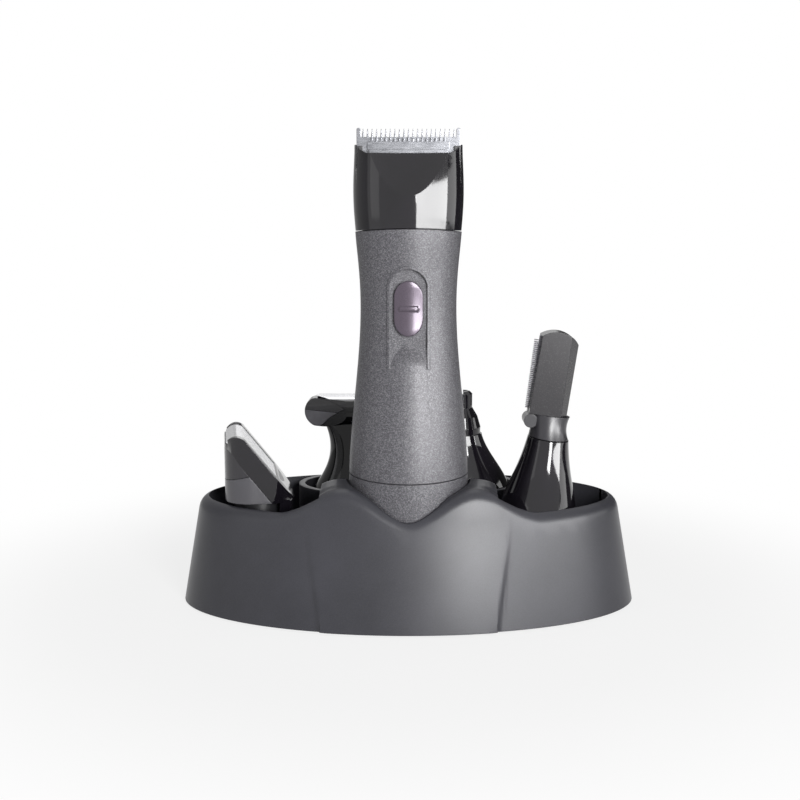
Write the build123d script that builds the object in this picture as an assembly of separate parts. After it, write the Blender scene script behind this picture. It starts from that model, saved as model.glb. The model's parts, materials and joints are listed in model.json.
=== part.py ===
"""Battery beard trimmer with a storage stand and four spare heads.

Frame: millimetres, +Z up, -Y towards the user, origin on the floor at the middle of the stand.
The trimmer stands upright in a socket at the front of the stand. Four heads sit on posts in pockets
around it. Every head fits over the same spigot, on the handle or on a post.
"""
from build123d import *
from collections import namedtuple
from functools import lru_cache
import math
import os

# ---------------------------------------------------------------- driving dimensions (mm)
# stand
stand_length = 160.0        # outside, at the floor
stand_depth = 87.0          # outside, at the floor
stand_height = 38.0         # rim of the pockets
stand_draft = 10.0          # degrees that the outer wall leans in
stand_wall = 2.4
stand_rim_radius = 5.0      # rounding of the rim's outer edge
hood_height = 46.6          # crest of the hood beside the handle
hood_dip = 37.2             # lowest point of the hood's front edge
hood_draft = 9.2            # degrees; steeper than the wall, so the hood stands proud at the top
hood_proud = 0.3            # how far the hood stands proud at the floor
hood_half_width_top = 37.0
hood_half_width_floor = 31.0
plate_thickness = 2.0       # bottom cover of the stand
foot_height = 1.6
foot_radius = 5.0
screw_radius = 1.5
screw_depth = 11.0
pocket_floor = 21.0         # height of the pockets' floors
pocket_front_reach = 29.5   # inner side of the front pockets
pocket_margin = 1.0         # round a head that stands in a back pocket
pocket_corner = 1.6
rim_band = 2.7              # width of the rim round the pockets
rib_thickness = 2.2         # walls between pockets and around the socket
socket_floor = 8.0          # the trimmer stands on this
socket_gap = 0.8            # round the handle in its socket

# handle
handle_y = -16.0            # the handle's axis lies this far in front of the stand's middle
handle_top = 131.1          # seam to the head, at its middle
handle_waist_z = 106.0
handle_base_z = 45.0        # below this the handle keeps its full size
top_width, top_depth = 35.0, 28.5
waist_width, waist_depth = 31.9, 26.0
base_width, base_depth = 40.3, 37.0
handle_wall = 2.4
head_seam_rise = 1.1        # the head's seam arches up towards its middle
cap_seam_z = 48.6
cap_seam_rise = -0.6        # the cap's seam dips towards its middle
seam_gap = 0.3
cap_bottom_radius = 4.0
tenon_height = 5.0          # of the cap, inside the handle
tenon_wall = 1.3
shell_split = 3.0           # the rear shell starts this far behind the axis

# spigot that every head fits over
spigot_width, spigot_depth = 28.0, 14.0
spigot_height = 5.0
spigot_fit = 0.25           # between spigot and skirt, all round
key_width, key_depth = 3.0, 0.8
drive_hole_width, drive_hole_depth = 15.0, 9.4
skirt_depth = 26.4          # narrow side of the spare heads
skirt_ceiling = 1.6

# switch
track_width = 12.2
track_top = 118.4
track_fade = 80.0           # the track runs out here
track_floor = 11.4          # from the handle's axis
lip_width, lip_proud = 0.9, 0.35
lip_end = 86.0              # the lip round the track runs out here
button_width, button_length, button_z = 10.9, 17.9, 105.7
button_proud = 0.7          # above the handle's surface
button_travel = 3.0
button_gap = 0.15
ridge_width, ridge_height, ridge_proud = 7.0, 1.4, 0.6
stem_width, stem_length = 3.6, 5.0
wiper_width, wiper_length, wiper_thickness = 8.0, 10.0, 0.9

# battery and drive
cell_radius, cell_length = 7.15, 49.4
cell_gap = 0.35
nub_radius, nub_height = 2.7, 1.1
spring_height = 6.5
spring_wire = 0.45
contact_thickness = 0.5
chassis_wall = 1.8
motor_radius, motor_half_flat = 10.1, 7.7
motor_bottom, motor_length = 94.0, 24.5
motor_cap_height = 2.0
shaft_radius, shaft_fit = 1.0, 0.05
cam_radius, cam_height, cam_throw = 4.0, 4.0, 1.2    # the throw is also every blade's stroke
pin_radius, pin_reach = 1.0, 13.0   # the pin ends this far above the head's seam
drive_play = 0.2            # round the pin in a head's driver
yoke_wall = 1.6

# trimmer head
head_top = 158.0            # tips of the ears beside the blade
head_front_top = 155.2      # front edge below the blade
head_widest_z, head_widest = 140.0, 36.2
scoop_radius, scoop_bottom_z = 20.0, 142.0
scoop_top_y = -5.7          # from the handle's axis
ear_inner = 13.4
head_wall = 2.2
blade_y = -3.7              # contact plane of the two blades, from the handle's axis
blade_tip_z = 163.0
tooth_pitch = 1.47
tooth_count = 21
tooth_length = 2.6
fixed_blade_width, moving_blade_width = 33.6, 26.6
blade_thickness = 0.8
blade_gap = 0.05
moving_tip_z = 160.2

# spare heads on their posts. The turn sets which way a skirt's wide side faces, the twist turns the
# whole head a little further, the lean tips it outwards, and the height is that of its lower edge.
back_post_x, back_post_y = 19.4, stand_depth / 2 - 26.5     # in from the stand's back
Post = namedtuple("Post", "x y turn twist lean height")
POSTS = {
    "foil": Post(-52.3, -4.0, 90, 8.7, 0.0, 39.0),
    "detail": Post(44.5, -6.4, 90, 0.0, 7.0, 28.0),
    "wide": Post(-back_post_x, back_post_y, 0, 0.0, 0.0, 28.0),
    "nose": Post(back_post_x, back_post_y, 0, 0.0, 0.0, 28.0),
}
post_shoulder = 1.6         # ledge round a post's spigot
post_peg_radius, post_peg_fit = 4.0, 0.05   # peg of a post in the pocket's floor

# ---------------------------------------------------------------- shared shapes


def oval(width, depth, z=0.0, y=0.0):
    """Elliptical section, its width along X."""
    return Pos(0, y, z) * Ellipse(width / 2, depth / 2)


def prism(sketch, low, high):
    """The sketch, drawn on XY, from one height to another."""
    return extrude(Pos(0, 0, low) * sketch, amount=high - low)


def block(x0, x1, y0, y1, z0, z1):
    """Box given by its corners."""
    return Pos((x0 + x1) / 2, (y0 + y1) / 2, (z0 + z1) / 2) * Box(x1 - x0, y1 - y0, z1 - z0)


def span_block(x0, x1, y0, y1, z0, z1):
    """Box between two x values given in either order."""
    return block(min(x0, x1), max(x0, x1), y0, y1, z0, z1)


def rod(radius, z0, z1, x=0.0, y=0.0):
    """Upright cylinder between two heights."""
    return Pos(x, y, (z0 + z1) / 2) * Cylinder(radius, z1 - z0)


def bar_x(radius, x0, x1, y=0.0, z=0.0):
    """Cylinder along X."""
    return Pos((x0 + x1) / 2, y, z) * Rot(0, 90, 0) * Cylinder(radius, x1 - x0)


def ease(t):
    """0 to 1 with a level start and end."""
    t = min(max(t, 0.0), 1.0)
    return t * t * (3 - 2 * t)


def lerp(a, b, t):
    """The value a share t of the way from a to b."""
    return a + (b - a) * t


def join(pieces):
    """One part from several."""
    return Part() + list(pieces)


def side_slab(profile, half_width):
    """A profile drawn as (y, z), stretched along X to both sides."""
    return extrude(Plane.YZ * profile, amount=half_width, both=True)


def front_slab(profile, half_depth):
    """A profile drawn as (x, z), stretched along Y to both sides."""
    return extrude(Plane.XZ * profile, amount=half_depth, both=True)


def above_seam(z_middle, rise, half_width, lift=0.0):
    """Everything above an arched seam that is seen as an arc from the front."""
    reach = 60.0
    z_side = z_middle - rise * (reach / half_width) ** 2
    arc = ThreePointArc((-reach, z_side + lift), (0, z_middle + lift), (reach, z_side + lift))
    lid = Polyline((reach, z_side + lift), (reach, z_middle + 300), (-reach, z_middle + 300), (-reach, z_side + lift))
    return front_slab(make_face([arc, lid]), 80)


def spigot(height, grow=0.0):
    """Oval plug with a key on each narrow end, standing on z=0."""
    plug = prism(Ellipse(spigot_width / 2 + grow, spigot_depth / 2 + grow), 0, height)
    reach = spigot_width / 2 + key_depth + grow
    return plug + prism(Rectangle(2 * reach, key_width + 2 * grow), 0, height)


def skirt_socket(depth=spigot_height):
    """What a skirt leaves open for the spigot and the drive pin, from below its lower edge."""
    drive = prism(Ellipse(drive_hole_width / 2, drive_hole_depth / 2), 0, depth + skirt_ceiling + 0.5)
    return Pos(0, 0, -3) * spigot(depth + 3, spigot_fit) + drive


def skirt_loft(sections):
    """Body through oval sections (z, width, depth)."""
    return loft([oval(w, d, z) for z, w, d in sections])


def arched(skirt):
    """A skirt with its lower edge cut to the arch of the head's seam."""
    return skirt & above_seam(head_seam_rise, head_seam_rise, top_width / 2, seam_gap)


def yoke(across, low, high, front, back):
    """Driver block with a slot for the pin, open below; across is half the slot's width."""
    along = pin_radius + cam_throw + drive_play
    body = block(-across - yoke_wall, across + yoke_wall, front, back, low, high)
    return body - block(-across, across, -along, along, low - 1, high - yoke_wall)


# ---------------------------------------------------------------- stand

stand_lean = math.tan(math.radians(stand_draft))
hood_lean = math.tan(math.radians(hood_draft))


def stand_oval(z, inset=0.0, lean=stand_lean):
    """The stand's outline at a height, drawn in by an inset."""
    return Ellipse(stand_length / 2 - z * lean - inset, stand_depth / 2 - z * lean - inset)


def drafted(z0, z1, inset=0.0, lean=stand_lean):
    """Oval cone of the stand between two heights."""
    return loft([Pos(0, 0, z) * stand_oval(z, inset, lean) for z in (z0, z1)], ruled=True)


def rounded_rim():
    """Top of the stand, its outer edge rounded off."""
    base = stand_height - stand_rim_radius
    steps = 5
    sections = []
    for i in range(steps + 1):
        angle = i / steps * math.pi / 2
        rise = stand_rim_radius * math.sin(angle)
        inset = stand_rim_radius * (1 - math.cos(angle)) + rise * stand_lean * (1 - i / steps)
        sections.append(Pos(0, 0, base + rise) * stand_oval(base, inset))
    return loft(sections)


def handle_size(z):
    """Width and depth of the handle at a height."""
    if z >= handle_waist_z:
        t = ((z - handle_waist_z) / (handle_top - handle_waist_z)) ** 1.5
        return lerp(waist_width, top_width, t), lerp(waist_depth, top_depth, t)
    t = ease((handle_waist_z - z) / (handle_waist_z - handle_base_z))
    return lerp(waist_width, base_width, t), lerp(waist_depth, base_depth, t)


@lru_cache(maxsize=None)
def handle_form(inset):
    """The whole handle's form, drawn in by an inset, from its foot to above the head's seam."""
    middle = (handle_base_z, 60, 75, 90, handle_waist_z, 118)
    levels = (socket_floor - 3, *middle, handle_top + 2)
    sizes = [(z, *handle_size(z)) for z in levels]
    return loft([oval(w - 2 * inset, d - 2 * inset, z, handle_y) for z, w, d in sizes])


def between(z0, z1):
    """Everything between two heights."""
    return block(-100, 100, -100, 100, z0, z1)


def hood():
    """Raised front of the stand that wraps round the handle."""
    crest_x = handle_size(handle_base_z)[0] / 2 + 2.5
    edge = [
        (0, hood_dip),
        (8, lerp(hood_dip, hood_height, 0.31)),
        (14, lerp(hood_dip, hood_height, 0.70)),
        (crest_x - 3, hood_height - 0.5),
        (crest_x, hood_height),
        (crest_x + 8, lerp(stand_height, hood_height, 0.68)),
        (crest_x + 15, lerp(stand_height, hood_height, 0.16)),
    ]
    right = Spline(*edge, tangents=[(1, 0), (1, -0.45)])
    end = (hood_half_width_top + 4.0, stand_height - 1.2)
    rest = Polyline(edge[-1], end, (hood_half_width_floor, 0), (0, 0), edge[0])
    half = make_face([right, rest])
    front = front_slab(half, stand_depth)
    front += mirror(front, Plane.YZ)
    back = handle_y + 20
    slope = Polyline(
        (-stand_depth, 0), (-stand_depth, hood_height + 5), (handle_y - 2, hood_height + 5),
        (handle_y + 4, hood_height - 1), (back, stand_height - 1), (back, 0), close=True,
    )
    cone = drafted(0, hood_height + 3, -hood_proud, hood_lean)
    return cone & front & side_slab(make_face(slope), stand_length / 2)


def socket_hole(z0, z1, grow):
    """The handle's foot, larger by a gap, for the socket and its wall."""
    w, d = handle_size(handle_base_z)
    return prism(oval(w + 2 * grow, d + 2 * grow, 0, handle_y), z0, z1)


def back_zone(name, grow=0.0):
    """Plan of the room that a head needs in a back pocket."""
    post_at = POSTS[name]
    margin = pocket_margin + grow
    return Pos(post_at.x, post_at.y) * Ellipse(top_width / 2 + margin, skirt_depth / 2 + margin)


def rounded(plan):
    """A pocket's outline with its corners rounded, or as it is where it has none."""
    corners = plan.vertices()
    return fillet(corners, pocket_corner) if len(corners) > 1 else plan


def pocket_plans():
    """Plan outline of every pocket: inside the rim, clear of the socket and of one another."""
    rim = stand_oval(stand_height, rim_band)
    w, d = handle_size(handle_base_z)
    grow = 2 * (socket_gap + rib_thickness)
    keep_out = oval(w + grow, d + grow, 0, handle_y)
    plans = {}
    for name in ("wide", "nose"):
        side = math.copysign(stand_length / 2 + rib_thickness / 2, POSTS[name].x)
        half = Pos(side, 0) * Rectangle(stand_length, 2 * stand_depth)
        plans[name] = (back_zone(name) & rim & half) - keep_out
    for name, neighbour in (("foil", "wide"), ("detail", "nose")):
        side = math.copysign(pocket_front_reach + stand_length / 2, POSTS[name].x)
        front = Pos(side, -stand_depth / 2 + 15) * Rectangle(stand_length, stand_depth)
        plans[name] = (front & rim) - back_zone(neighbour, rib_thickness) - keep_out
    return {name: rounded(plan) for name, plan in plans.items()}


def post_place(name):
    """Where a head's own frame lies when it is stored."""
    at = POSTS[name]
    return Pos(at.x, at.y, at.height) * Rot(0, at.lean, 0) * Rot(0, 0, at.twist)


def turned(name, shape):
    """A shape turned as the head is turned on its post."""
    return Rot(0, 0, POSTS[name].turn) * shape


def post_peg(name, grow=0.0):
    """Peg under a post, through the pocket's floor."""
    at = POSTS[name]
    return rod(post_peg_radius + grow, pocket_floor - stand_wall, pocket_floor + grow, at.x, at.y)


def post(name):
    """Pedestal with a hollow spigot for one head, standing on the pocket's floor."""
    waist = Ellipse(spigot_width / 2 + post_shoulder, spigot_depth / 2 + post_shoulder)
    pedestal = prism(waist, -stand_height, 0) + spigot(spigot_height)
    pedestal -= prism(Ellipse(drive_hole_width / 2, drive_hole_depth / 2), 1, spigot_height + 1)
    pedestal = post_place(name) * turned(name, pedestal)
    return (pedestal & between(pocket_floor, 2 * stand_height)) + post_peg(name)


def post_foil():
    """Post of the foil head."""
    return post("foil")


def post_wide():
    """Post of the wide head."""
    return post("wide")


def post_nose():
    """Post of the nose head."""
    return post("nose")


def post_detail():
    """Post of the detail head, leaning outwards."""
    return post("detail")


def plate_screw_places():
    """Middles of the bottom cover's screws."""
    x, y = stand_length * 0.35, stand_depth * 0.2
    return [(sx * x, sy * y) for sx in (-1, 1) for sy in (-1, 1)]


def foot_places():
    """Middles of the feet."""
    x, y = stand_length * 0.25, stand_depth * 0.32
    return [(sx * x, sy * y) for sx in (-1, 1) for sy in (-1, 1)]


def stand_shell():
    """One moulding: outer wall, hood, socket for the handle and four pockets with posts."""
    bottom = foot_height
    body = drafted(bottom, stand_height - stand_rim_radius) + rounded_rim()
    body += hood() & between(bottom, 2 * stand_height)
    hollow_top = pocket_floor - stand_wall
    hollow = drafted(0, hollow_top, stand_wall)
    hollow -= socket_hole(socket_floor - stand_wall, hollow_top + 1, socket_gap + rib_thickness)
    bosses = [rod(4.0, bottom + plate_thickness, hollow_top + 1, x, y) for x, y in plate_screw_places()]
    body -= hollow - join(bosses)
    body -= join(rod(screw_radius, 0, bottom + screw_depth, x, y) for x, y in plate_screw_places())
    body -= socket_hole(socket_floor, 2 * hood_height, socket_gap)
    for name, plan in pocket_plans().items():
        body -= prism(plan, pocket_floor, 2 * stand_height) + post_peg(name, post_peg_fit)
    return body


def stand_base_plate():
    """Flat cover inside the stand's wall, level with its lower edge."""
    top = foot_height + plate_thickness
    plate = prism(stand_oval(top, stand_wall + seam_gap), foot_height, top)
    return plate - join(rod(screw_radius + 0.2, 0, 9, x, y) for x, y in plate_screw_places())


def stand_feet():
    """Four rubber discs."""
    return join(rod(foot_radius, 0, foot_height, x, y) for x, y in foot_places())


def stand_screws():
    """Four pan-head screws through the cover."""
    head = rod(2.8, foot_height - 1.0, foot_height)
    shank = rod(screw_radius - 0.05, foot_height, foot_height + screw_depth - 2)
    return join(Pos(x, y, 0) * (head + shank) for x, y in plate_screw_places())


# ---------------------------------------------------------------- battery cap and cell

cap_floor = socket_floor + handle_wall
cell_bottom = cap_floor + contact_thickness + spring_height
cell_top = cell_bottom + cell_length + nub_height
tenon_top = cap_seam_z + tenon_height


def cap_seam(lift=0.0):
    """Everything above the seam between the cap and the handle."""
    return above_seam(cap_seam_z, cap_seam_rise, base_width / 2, lift)


def battery_cap():
    """Cup that forms the handle's lower end, with a tenon that plugs into the handle."""
    foot_cut = between(socket_floor, cap_seam_z + 10)
    outside = (handle_form(0.0) & foot_cut) - cap_seam()
    outside = fillet(outside.edges().group_by(Axis.Z)[0], cap_bottom_radius)
    tenon_inset = handle_wall + seam_gap
    step = cap_seam_z - 9
    cup = outside + (handle_form(tenon_inset) & between(step, tenon_top))
    cup -= handle_form(handle_wall) & between(cap_floor, step)
    cup -= handle_form(tenon_inset + tenon_wall) & between(step - 1, tenon_top + 1)
    return cup + cell_holder()


def cell_holder():
    """Short tube on the cap's floor, tied to the wall by four ribs."""
    ring = rod(cell_radius + cell_gap + 1.4, cap_floor, cap_floor + 24, 0, handle_y)
    ribs = block(-base_width / 2, base_width / 2, handle_y - 0.7, handle_y + 0.7, cap_floor, cap_floor + 16)
    ribs += block(-0.7, 0.7, handle_y - base_depth / 2, handle_y + base_depth / 2, cap_floor, cap_floor + 16)
    ribs &= handle_form(handle_wall - 0.3)
    return (ring + ribs) - rod(cell_radius + cell_gap, cap_floor, cap_floor + 25, 0, handle_y)


def cap_contact_plate():
    """Metal disc under the spring."""
    return rod(cell_radius - 0.4, cap_floor, cap_floor + contact_thickness, 0, handle_y)


def battery_spring():
    """Conical coil spring between the disc and the cell."""
    low = cap_floor + contact_thickness + spring_wire
    path = Pos(0, handle_y, low) * Helix(pitch=1.4, height=spring_height - 2 * spring_wire, radius=5.4, cone_angle=-14)
    start = path @ 0
    wire = Plane(origin=start, z_dir=path % 0) * Circle(spring_wire)
    return sweep(wire, path=path)


def battery_cell():
    """AA cell, its nub up."""
    body = rod(cell_radius, cell_bottom, cell_bottom + cell_length, 0, handle_y)
    return body + rod(nub_radius, cell_bottom + cell_length, cell_top, 0, handle_y)


# ---------------------------------------------------------------- handle

mount_floor = handle_top - 4.0
motor_top = motor_bottom + motor_length


def head_seam(lift=0.0):
    """Everything above the seam between the handle and the head."""
    return above_seam(handle_top, head_seam_rise, top_width / 2, lift)


@lru_cache(maxsize=None)
def handle_shell():
    """Hollow handle between the cap's seam and the head's, with the switch's track in its front."""
    wall = handle_form(0.0) - handle_form(handle_wall)
    wall &= cap_seam(seam_gap)
    wall -= head_seam()
    return wall + track_lip() - track() - stem_slot()


def track_outline(grow):
    """The track's front view, drawn as (x, z), larger by a margin."""
    half = track_width / 2 + grow
    middle = track_top - track_width / 2
    foot = track_fade - 6
    return Pos(0, middle) * Circle(half) + Pos(0, (middle + foot) / 2) * Rectangle(2 * half, middle - foot)


def track_lip():
    """Low rim round the track's upper end, fading into the handle below."""
    slab = front_slab(track_outline(lip_width), 60) & block(-30, 30, -90, handle_y - 8, lip_end, 200)
    return slab & (handle_form(-lip_proud) - handle_form(handle_wall))


def track():
    """Room in front of the track's flat floor, running out at its lower end."""
    floor = handle_y - track_floor
    reach = handle_y - base_depth
    bend = button_z - button_length / 2 - 3
    side = Polyline(
        (reach, track_top + 5), (floor, track_top + 5), (floor, bend),
        (handle_y - handle_size(track_fade)[1] / 2 - 0.3, track_fade), (reach, track_fade), close=True,
    )
    return front_slab(track_outline(0), 60) & side_slab(make_face(side), 30)


def stem_slot():
    """Slot through the track's floor."""
    half = stem_width / 2 + button_gap
    low = button_z - stem_length / 2 - button_gap
    high = button_z + stem_length / 2 + button_travel + button_gap
    return block(-half, half, handle_y - base_depth, handle_y - 6, low, high)


def handle_front_shell():
    """Front of the handle."""
    return handle_shell() & block(-60, 60, -90, handle_y + shell_split, 0, 200)


def handle_rear_shell():
    """Back of the handle."""
    return handle_shell() & block(-60, 60, handle_y + shell_split, 90, 0, 200)


def handle_chassis():
    """Inner frame that holds the cell's upper end, the motor and the shells."""
    inside = handle_form(handle_wall + 0.05)
    tube_top = cell_top + contact_thickness
    tube_radius = cell_radius + cell_gap + 1.2
    flange = inside & between(tenon_top, tenon_top + chassis_wall)
    frame = flange + rod(tube_radius, tenon_top, tube_top + chassis_wall, 0, handle_y)
    frame -= rod(cell_radius + cell_gap, tenon_top - 1, tube_top, 0, handle_y)
    rail_x = motor_radius + 0.3
    rails = block(-rail_x - 2, rail_x + 2, handle_y - 2, handle_y + 2, tube_top, motor_top + chassis_wall)
    rails -= block(-rail_x, rail_x, handle_y - 3, handle_y + 3, tube_top + chassis_wall, motor_top)
    seat = inside & between(motor_bottom - motor_cap_height - chassis_wall, motor_bottom - motor_cap_height)
    lid = inside & between(motor_top, motor_top + chassis_wall)
    shelf = block(-rail_x - 2, rail_x + 2, handle_y - motor_half_flat, handle_y + motor_half_flat, 0, 200)
    frame += rails + ((seat + lid) & shelf)
    return frame - rod(cam_radius, motor_top - 1, motor_top + chassis_wall + 1, 0, handle_y) - motor_tabs(0.2)


def motor_body(radius, z0, z1):
    """Round can with two flats."""
    flats = block(-radius - 1, radius + 1, handle_y - motor_half_flat, handle_y + motor_half_flat, z0, z1)
    return rod(radius, z0, z1, 0, handle_y) & flats


def motor_can():
    """Steel can of the motor, bored for the shaft."""
    can = motor_body(motor_radius, motor_bottom, motor_top)
    can += rod(3.0, motor_top, motor_top + 1.2, 0, handle_y)
    return can - rod(shaft_radius + shaft_fit, motor_bottom + 6, motor_top + 3, 0, handle_y)


def motor_tabs(grow=0.0):
    """The motor's two terminals, down through the chassis."""
    low = motor_bottom - motor_cap_height
    y0, y1 = handle_y + 5.0 - grow, handle_y + 5.5 + grow
    return join(block(x - 1 - grow, x + 1 + grow, y0, y1, low - chassis_wall - 2, low) for x in (-6, 6))


def motor_end_cap():
    """Plastic end of the motor with its two terminals."""
    return motor_body(motor_radius - 0.2, motor_bottom - motor_cap_height, motor_bottom) + motor_tabs()


def contact_strips():
    """Brass strips: one on the cell's nub, one along the battery tube for the cap's contact."""
    top = cell_top
    disc = rod(nub_radius + 1.5, top, top + contact_thickness, 0, handle_y)
    tube_radius = cell_radius + cell_gap + 1.2
    strip_y = handle_y + tube_radius + 1
    strip = block(-2, 2, strip_y, strip_y + contact_thickness, tenon_top + chassis_wall, motor_bottom - 6)
    foot = block(-2, 2, handle_y + tube_radius, strip_y, tenon_top + chassis_wall + 2, tenon_top + chassis_wall + 4)
    return disc + strip + foot


def head_mount():
    """Flange inside the handle's top and the spigot that the heads fit over."""
    flange = handle_form(handle_wall + 0.05) & between(mount_floor, mount_floor + 2)
    seat = handle_top - mount_floor
    plug = Pos(0, handle_y, mount_floor) * spigot(seat + spigot_height)
    bore = Pos(0, handle_y, 0) * prism(Ellipse(drive_hole_width / 2, drive_hole_depth / 2), mount_floor - 1, 200)
    return flange + plug - bore


# ---------------------------------------------------------------- switch


def stadium(width, length, z):
    """Upright rounded bar, drawn as (x, z)."""
    return Pos(0, z) * Rot(0, 0, 90) * SlotOverall(length, width)


def switch_button():
    """Sliding thumb button with a grip ridge and a stem through the track's floor."""
    floor = handle_y - track_floor - button_gap
    front = block(-30, 30, -90, floor, 0, 200)
    button = front_slab(stadium(button_width, button_length, button_z), 60) & handle_form(-button_proud) & front
    ridge = front_slab(Pos(0, button_z) * RectangleRounded(ridge_width, ridge_height, 0.6), 60)
    ridge &= handle_form(-button_proud - ridge_proud) & front
    half, low, high = stem_width / 2, button_z - stem_length / 2, button_z + stem_length / 2
    back = wiper_front()
    return button + ridge + block(-half, half, floor - 0.5, back, low, high)


def wiper_front():
    """Front face of the wiper, behind the shell's inner side."""
    return handle_y - waist_depth / 2 + handle_wall + 1.2


def switch_wiper():
    """Contact plate that the button carries inside the handle."""
    y = wiper_front()
    half = wiper_width / 2
    return block(-half, half, y, y + wiper_thickness, button_z - wiper_length / 2, button_z + wiper_length / 2)


# ---------------------------------------------------------------- rotor

cam_bottom = motor_top + chassis_wall + 0.4


def motor_shaft():
    """Steel shaft of the motor."""
    return rod(shaft_radius, motor_bottom + 7, cam_bottom + cam_height - 1.0, 0, handle_y)


def eccentric_cam():
    """Disc on the shaft with the off-centre pin that drives every head."""
    disc = rod(cam_radius, cam_bottom, cam_bottom + cam_height, 0, handle_y) - motor_shaft()
    return disc + rod(pin_radius, cam_bottom + cam_height - 0.5, handle_top + pin_reach, cam_throw, handle_y)


# ---------------------------------------------------------------- trimmer head

blade_plane = handle_y + blade_y
bed_z = handle_top + spigot_height + skirt_ceiling


def trimmer_housing():
    """Moulded head: oval skirt, scooped front, tapered back and two ears beside the blade."""
    sections = [
        (handle_top - 2, top_width - 0.3, top_depth),
        (handle_top + 4, top_width + 0.7, top_depth + 0.3),
        (head_widest_z, head_widest, top_depth + 0.5),
        (lerp(head_widest_z, head_top, 0.5), head_widest - 0.2, top_depth - 0.3),
        (head_top, head_widest - 0.9, top_depth - 1.6),
    ]
    body = loft([oval(w, d, z, handle_y) for z, w, d in sections])
    body &= head_seam(seam_gap)
    slope = (scoop_top_y + top_depth / 2) / (head_front_top - scoop_bottom_z)
    low = scoop_bottom_z - 12
    centre_y = handle_y - top_depth / 2 - scoop_radius - 12 * slope
    scoop = extrude(Pos(0, centre_y, low) * Circle(scoop_radius), amount=40, dir=(0, slope, 1))
    body -= scoop
    back = Polyline(
        (handle_y + top_depth / 2 + 1, head_widest_z), (handle_y + 4.5, head_top),
        (handle_y + 30, head_top), (handle_y + 30, head_widest_z), close=True,
    )
    body -= side_slab(make_face(back), 30)
    body -= front_notch()
    body -= block(-ear_inner, ear_inner, blade_plane - 2, handle_y + 30, head_front_top + 1.4, head_top + 1)
    body -= Pos(0, handle_y, handle_top) * skirt_socket()
    return body - head_room()


def front_notch():
    """What is cut from the top of the front wall, leaving a thin ear at each side."""
    right = [(ear_inner, head_front_top), (ear_inner + 2.2, head_front_top + 1.2), (head_widest / 2 - 1.2, head_top + 0.1)]
    left = [(-x, z) for x, z in reversed(right)]
    outline = make_face(Polyline(*left, *right, (40, head_top + 5), (-40, head_top + 5), close=True))
    front = blade_plane - blade_thickness - 0.5
    return front_slab(outline, 60) & block(-60, 60, -90, front, 0, 200)


def head_room():
    """Room inside the head for the driver and the blades."""
    half = fixed_blade_width / 2 + 0.1
    front = blade_plane - blade_thickness - 0.5
    upper = block(-half, half, front, blade_plane + blade_thickness + 0.05, bed_z + 8, head_top + 1)
    narrow = drive_hole_width / 2 + 3.4
    lower = block(-narrow, narrow, front, handle_y + 6.5, bed_z, bed_z + 9)
    return upper + lower + blade_carrier()


def comb(width, tip_z, root_z, low_z, count, guard):
    """Blade outline drawn as (x, z): a plate with a row of teeth, with wide guard teeth at the ends."""
    plate = Pos(0, (low_z + root_z) / 2) * Rectangle(width, root_z - low_z)
    tooth_width = tooth_pitch * 0.5
    height = tip_z - root_z + 0.2
    first = -(count - 1) / 2 * tooth_pitch
    middle_z = root_z - 0.2 + height / 2
    teeth = [Pos(first + i * tooth_pitch, middle_z) * Trapezoid(tooth_width, height, 84) for i in range(count)]
    outline = plate + teeth
    if guard:
        start = (count - 1) / 2 * tooth_pitch + tooth_width
        span = width / 2 - start
        for side in (-1, 1):
            place = Pos(side * (start + span / 2), middle_z)
            outline += place * RectangleRounded(span, height + 0.6, min(span, height) * 0.4)
    return outline


def blade(outline, y0, y1):
    """A flat blade between two depths."""
    return extrude(Plane.XZ.offset(-y1) * outline, amount=y1 - y0)


def fixed_blade():
    """Rear blade: fine teeth with a rounded guard at each end."""
    low = bed_z + 8.5
    outline = comb(fixed_blade_width, blade_tip_z, blade_tip_z - tooth_length, low, tooth_count, True)
    return blade(outline, blade_plane, blade_plane + blade_thickness)


def moving_blade():
    """Front blade, narrower and lower than the fixed one."""
    count = int((moving_blade_width - 1) / tooth_pitch)
    outline = comb(moving_blade_width, moving_tip_z, moving_tip_z - 1.2, bed_z + 8.5, count, False)
    return blade(outline, blade_plane - blade_thickness, blade_plane - blade_gap)


def blade_driver():
    """Yoke that the motor's pin swings, fixed behind and below the moving blade."""
    across = pin_radius + 2 * cam_throw + drive_play
    low, high = bed_z + 0.3, bed_z + 8.5
    front = blade_y - blade_thickness
    body = yoke(across, low, high, front, pin_radius + cam_throw + drive_play + yoke_wall)
    return Pos(0, handle_y, 0) * body


def blade_guide():
    """Steel strip on the housing's front edge that keeps the moving blade against the fixed one."""
    front = blade_plane - blade_thickness - 0.5
    half = moving_blade_width / 2 - 0.6
    return block(-half, half, front - 0.8, front + 0.3, head_front_top, head_front_top + 1.3)


def blade_carrier():
    """Inner moulding that the fixed blade is mounted on, with a shoulder at each side of the moving one."""
    half = drive_hole_width / 2 + 3.3
    shelf_low, shelf_high = bed_z + 7.2, bed_z + 8.4
    front = blade_plane - blade_thickness - 0.4
    carrier = block(-half, half, blade_plane + blade_thickness, handle_y + 6.4, bed_z + 9.0, head_front_top - 3)
    for side in (-1, 1):
        inner = side * (moving_blade_width / 2 + cam_throw + 0.3)
        outer = side * fixed_blade_width / 2
        root = side * (half - 2.6)
        carrier += span_block(inner, outer, front, blade_plane, shelf_low, head_top - 0.4)
        carrier += span_block(root, outer, front, blade_plane + blade_thickness + 4, shelf_low, shelf_high)
        carrier += span_block(root, side * half, blade_plane + blade_thickness, blade_plane + 4, shelf_low, bed_z + 9.5)
    return carrier


# ---------------------------------------------------------------- foil head

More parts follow.
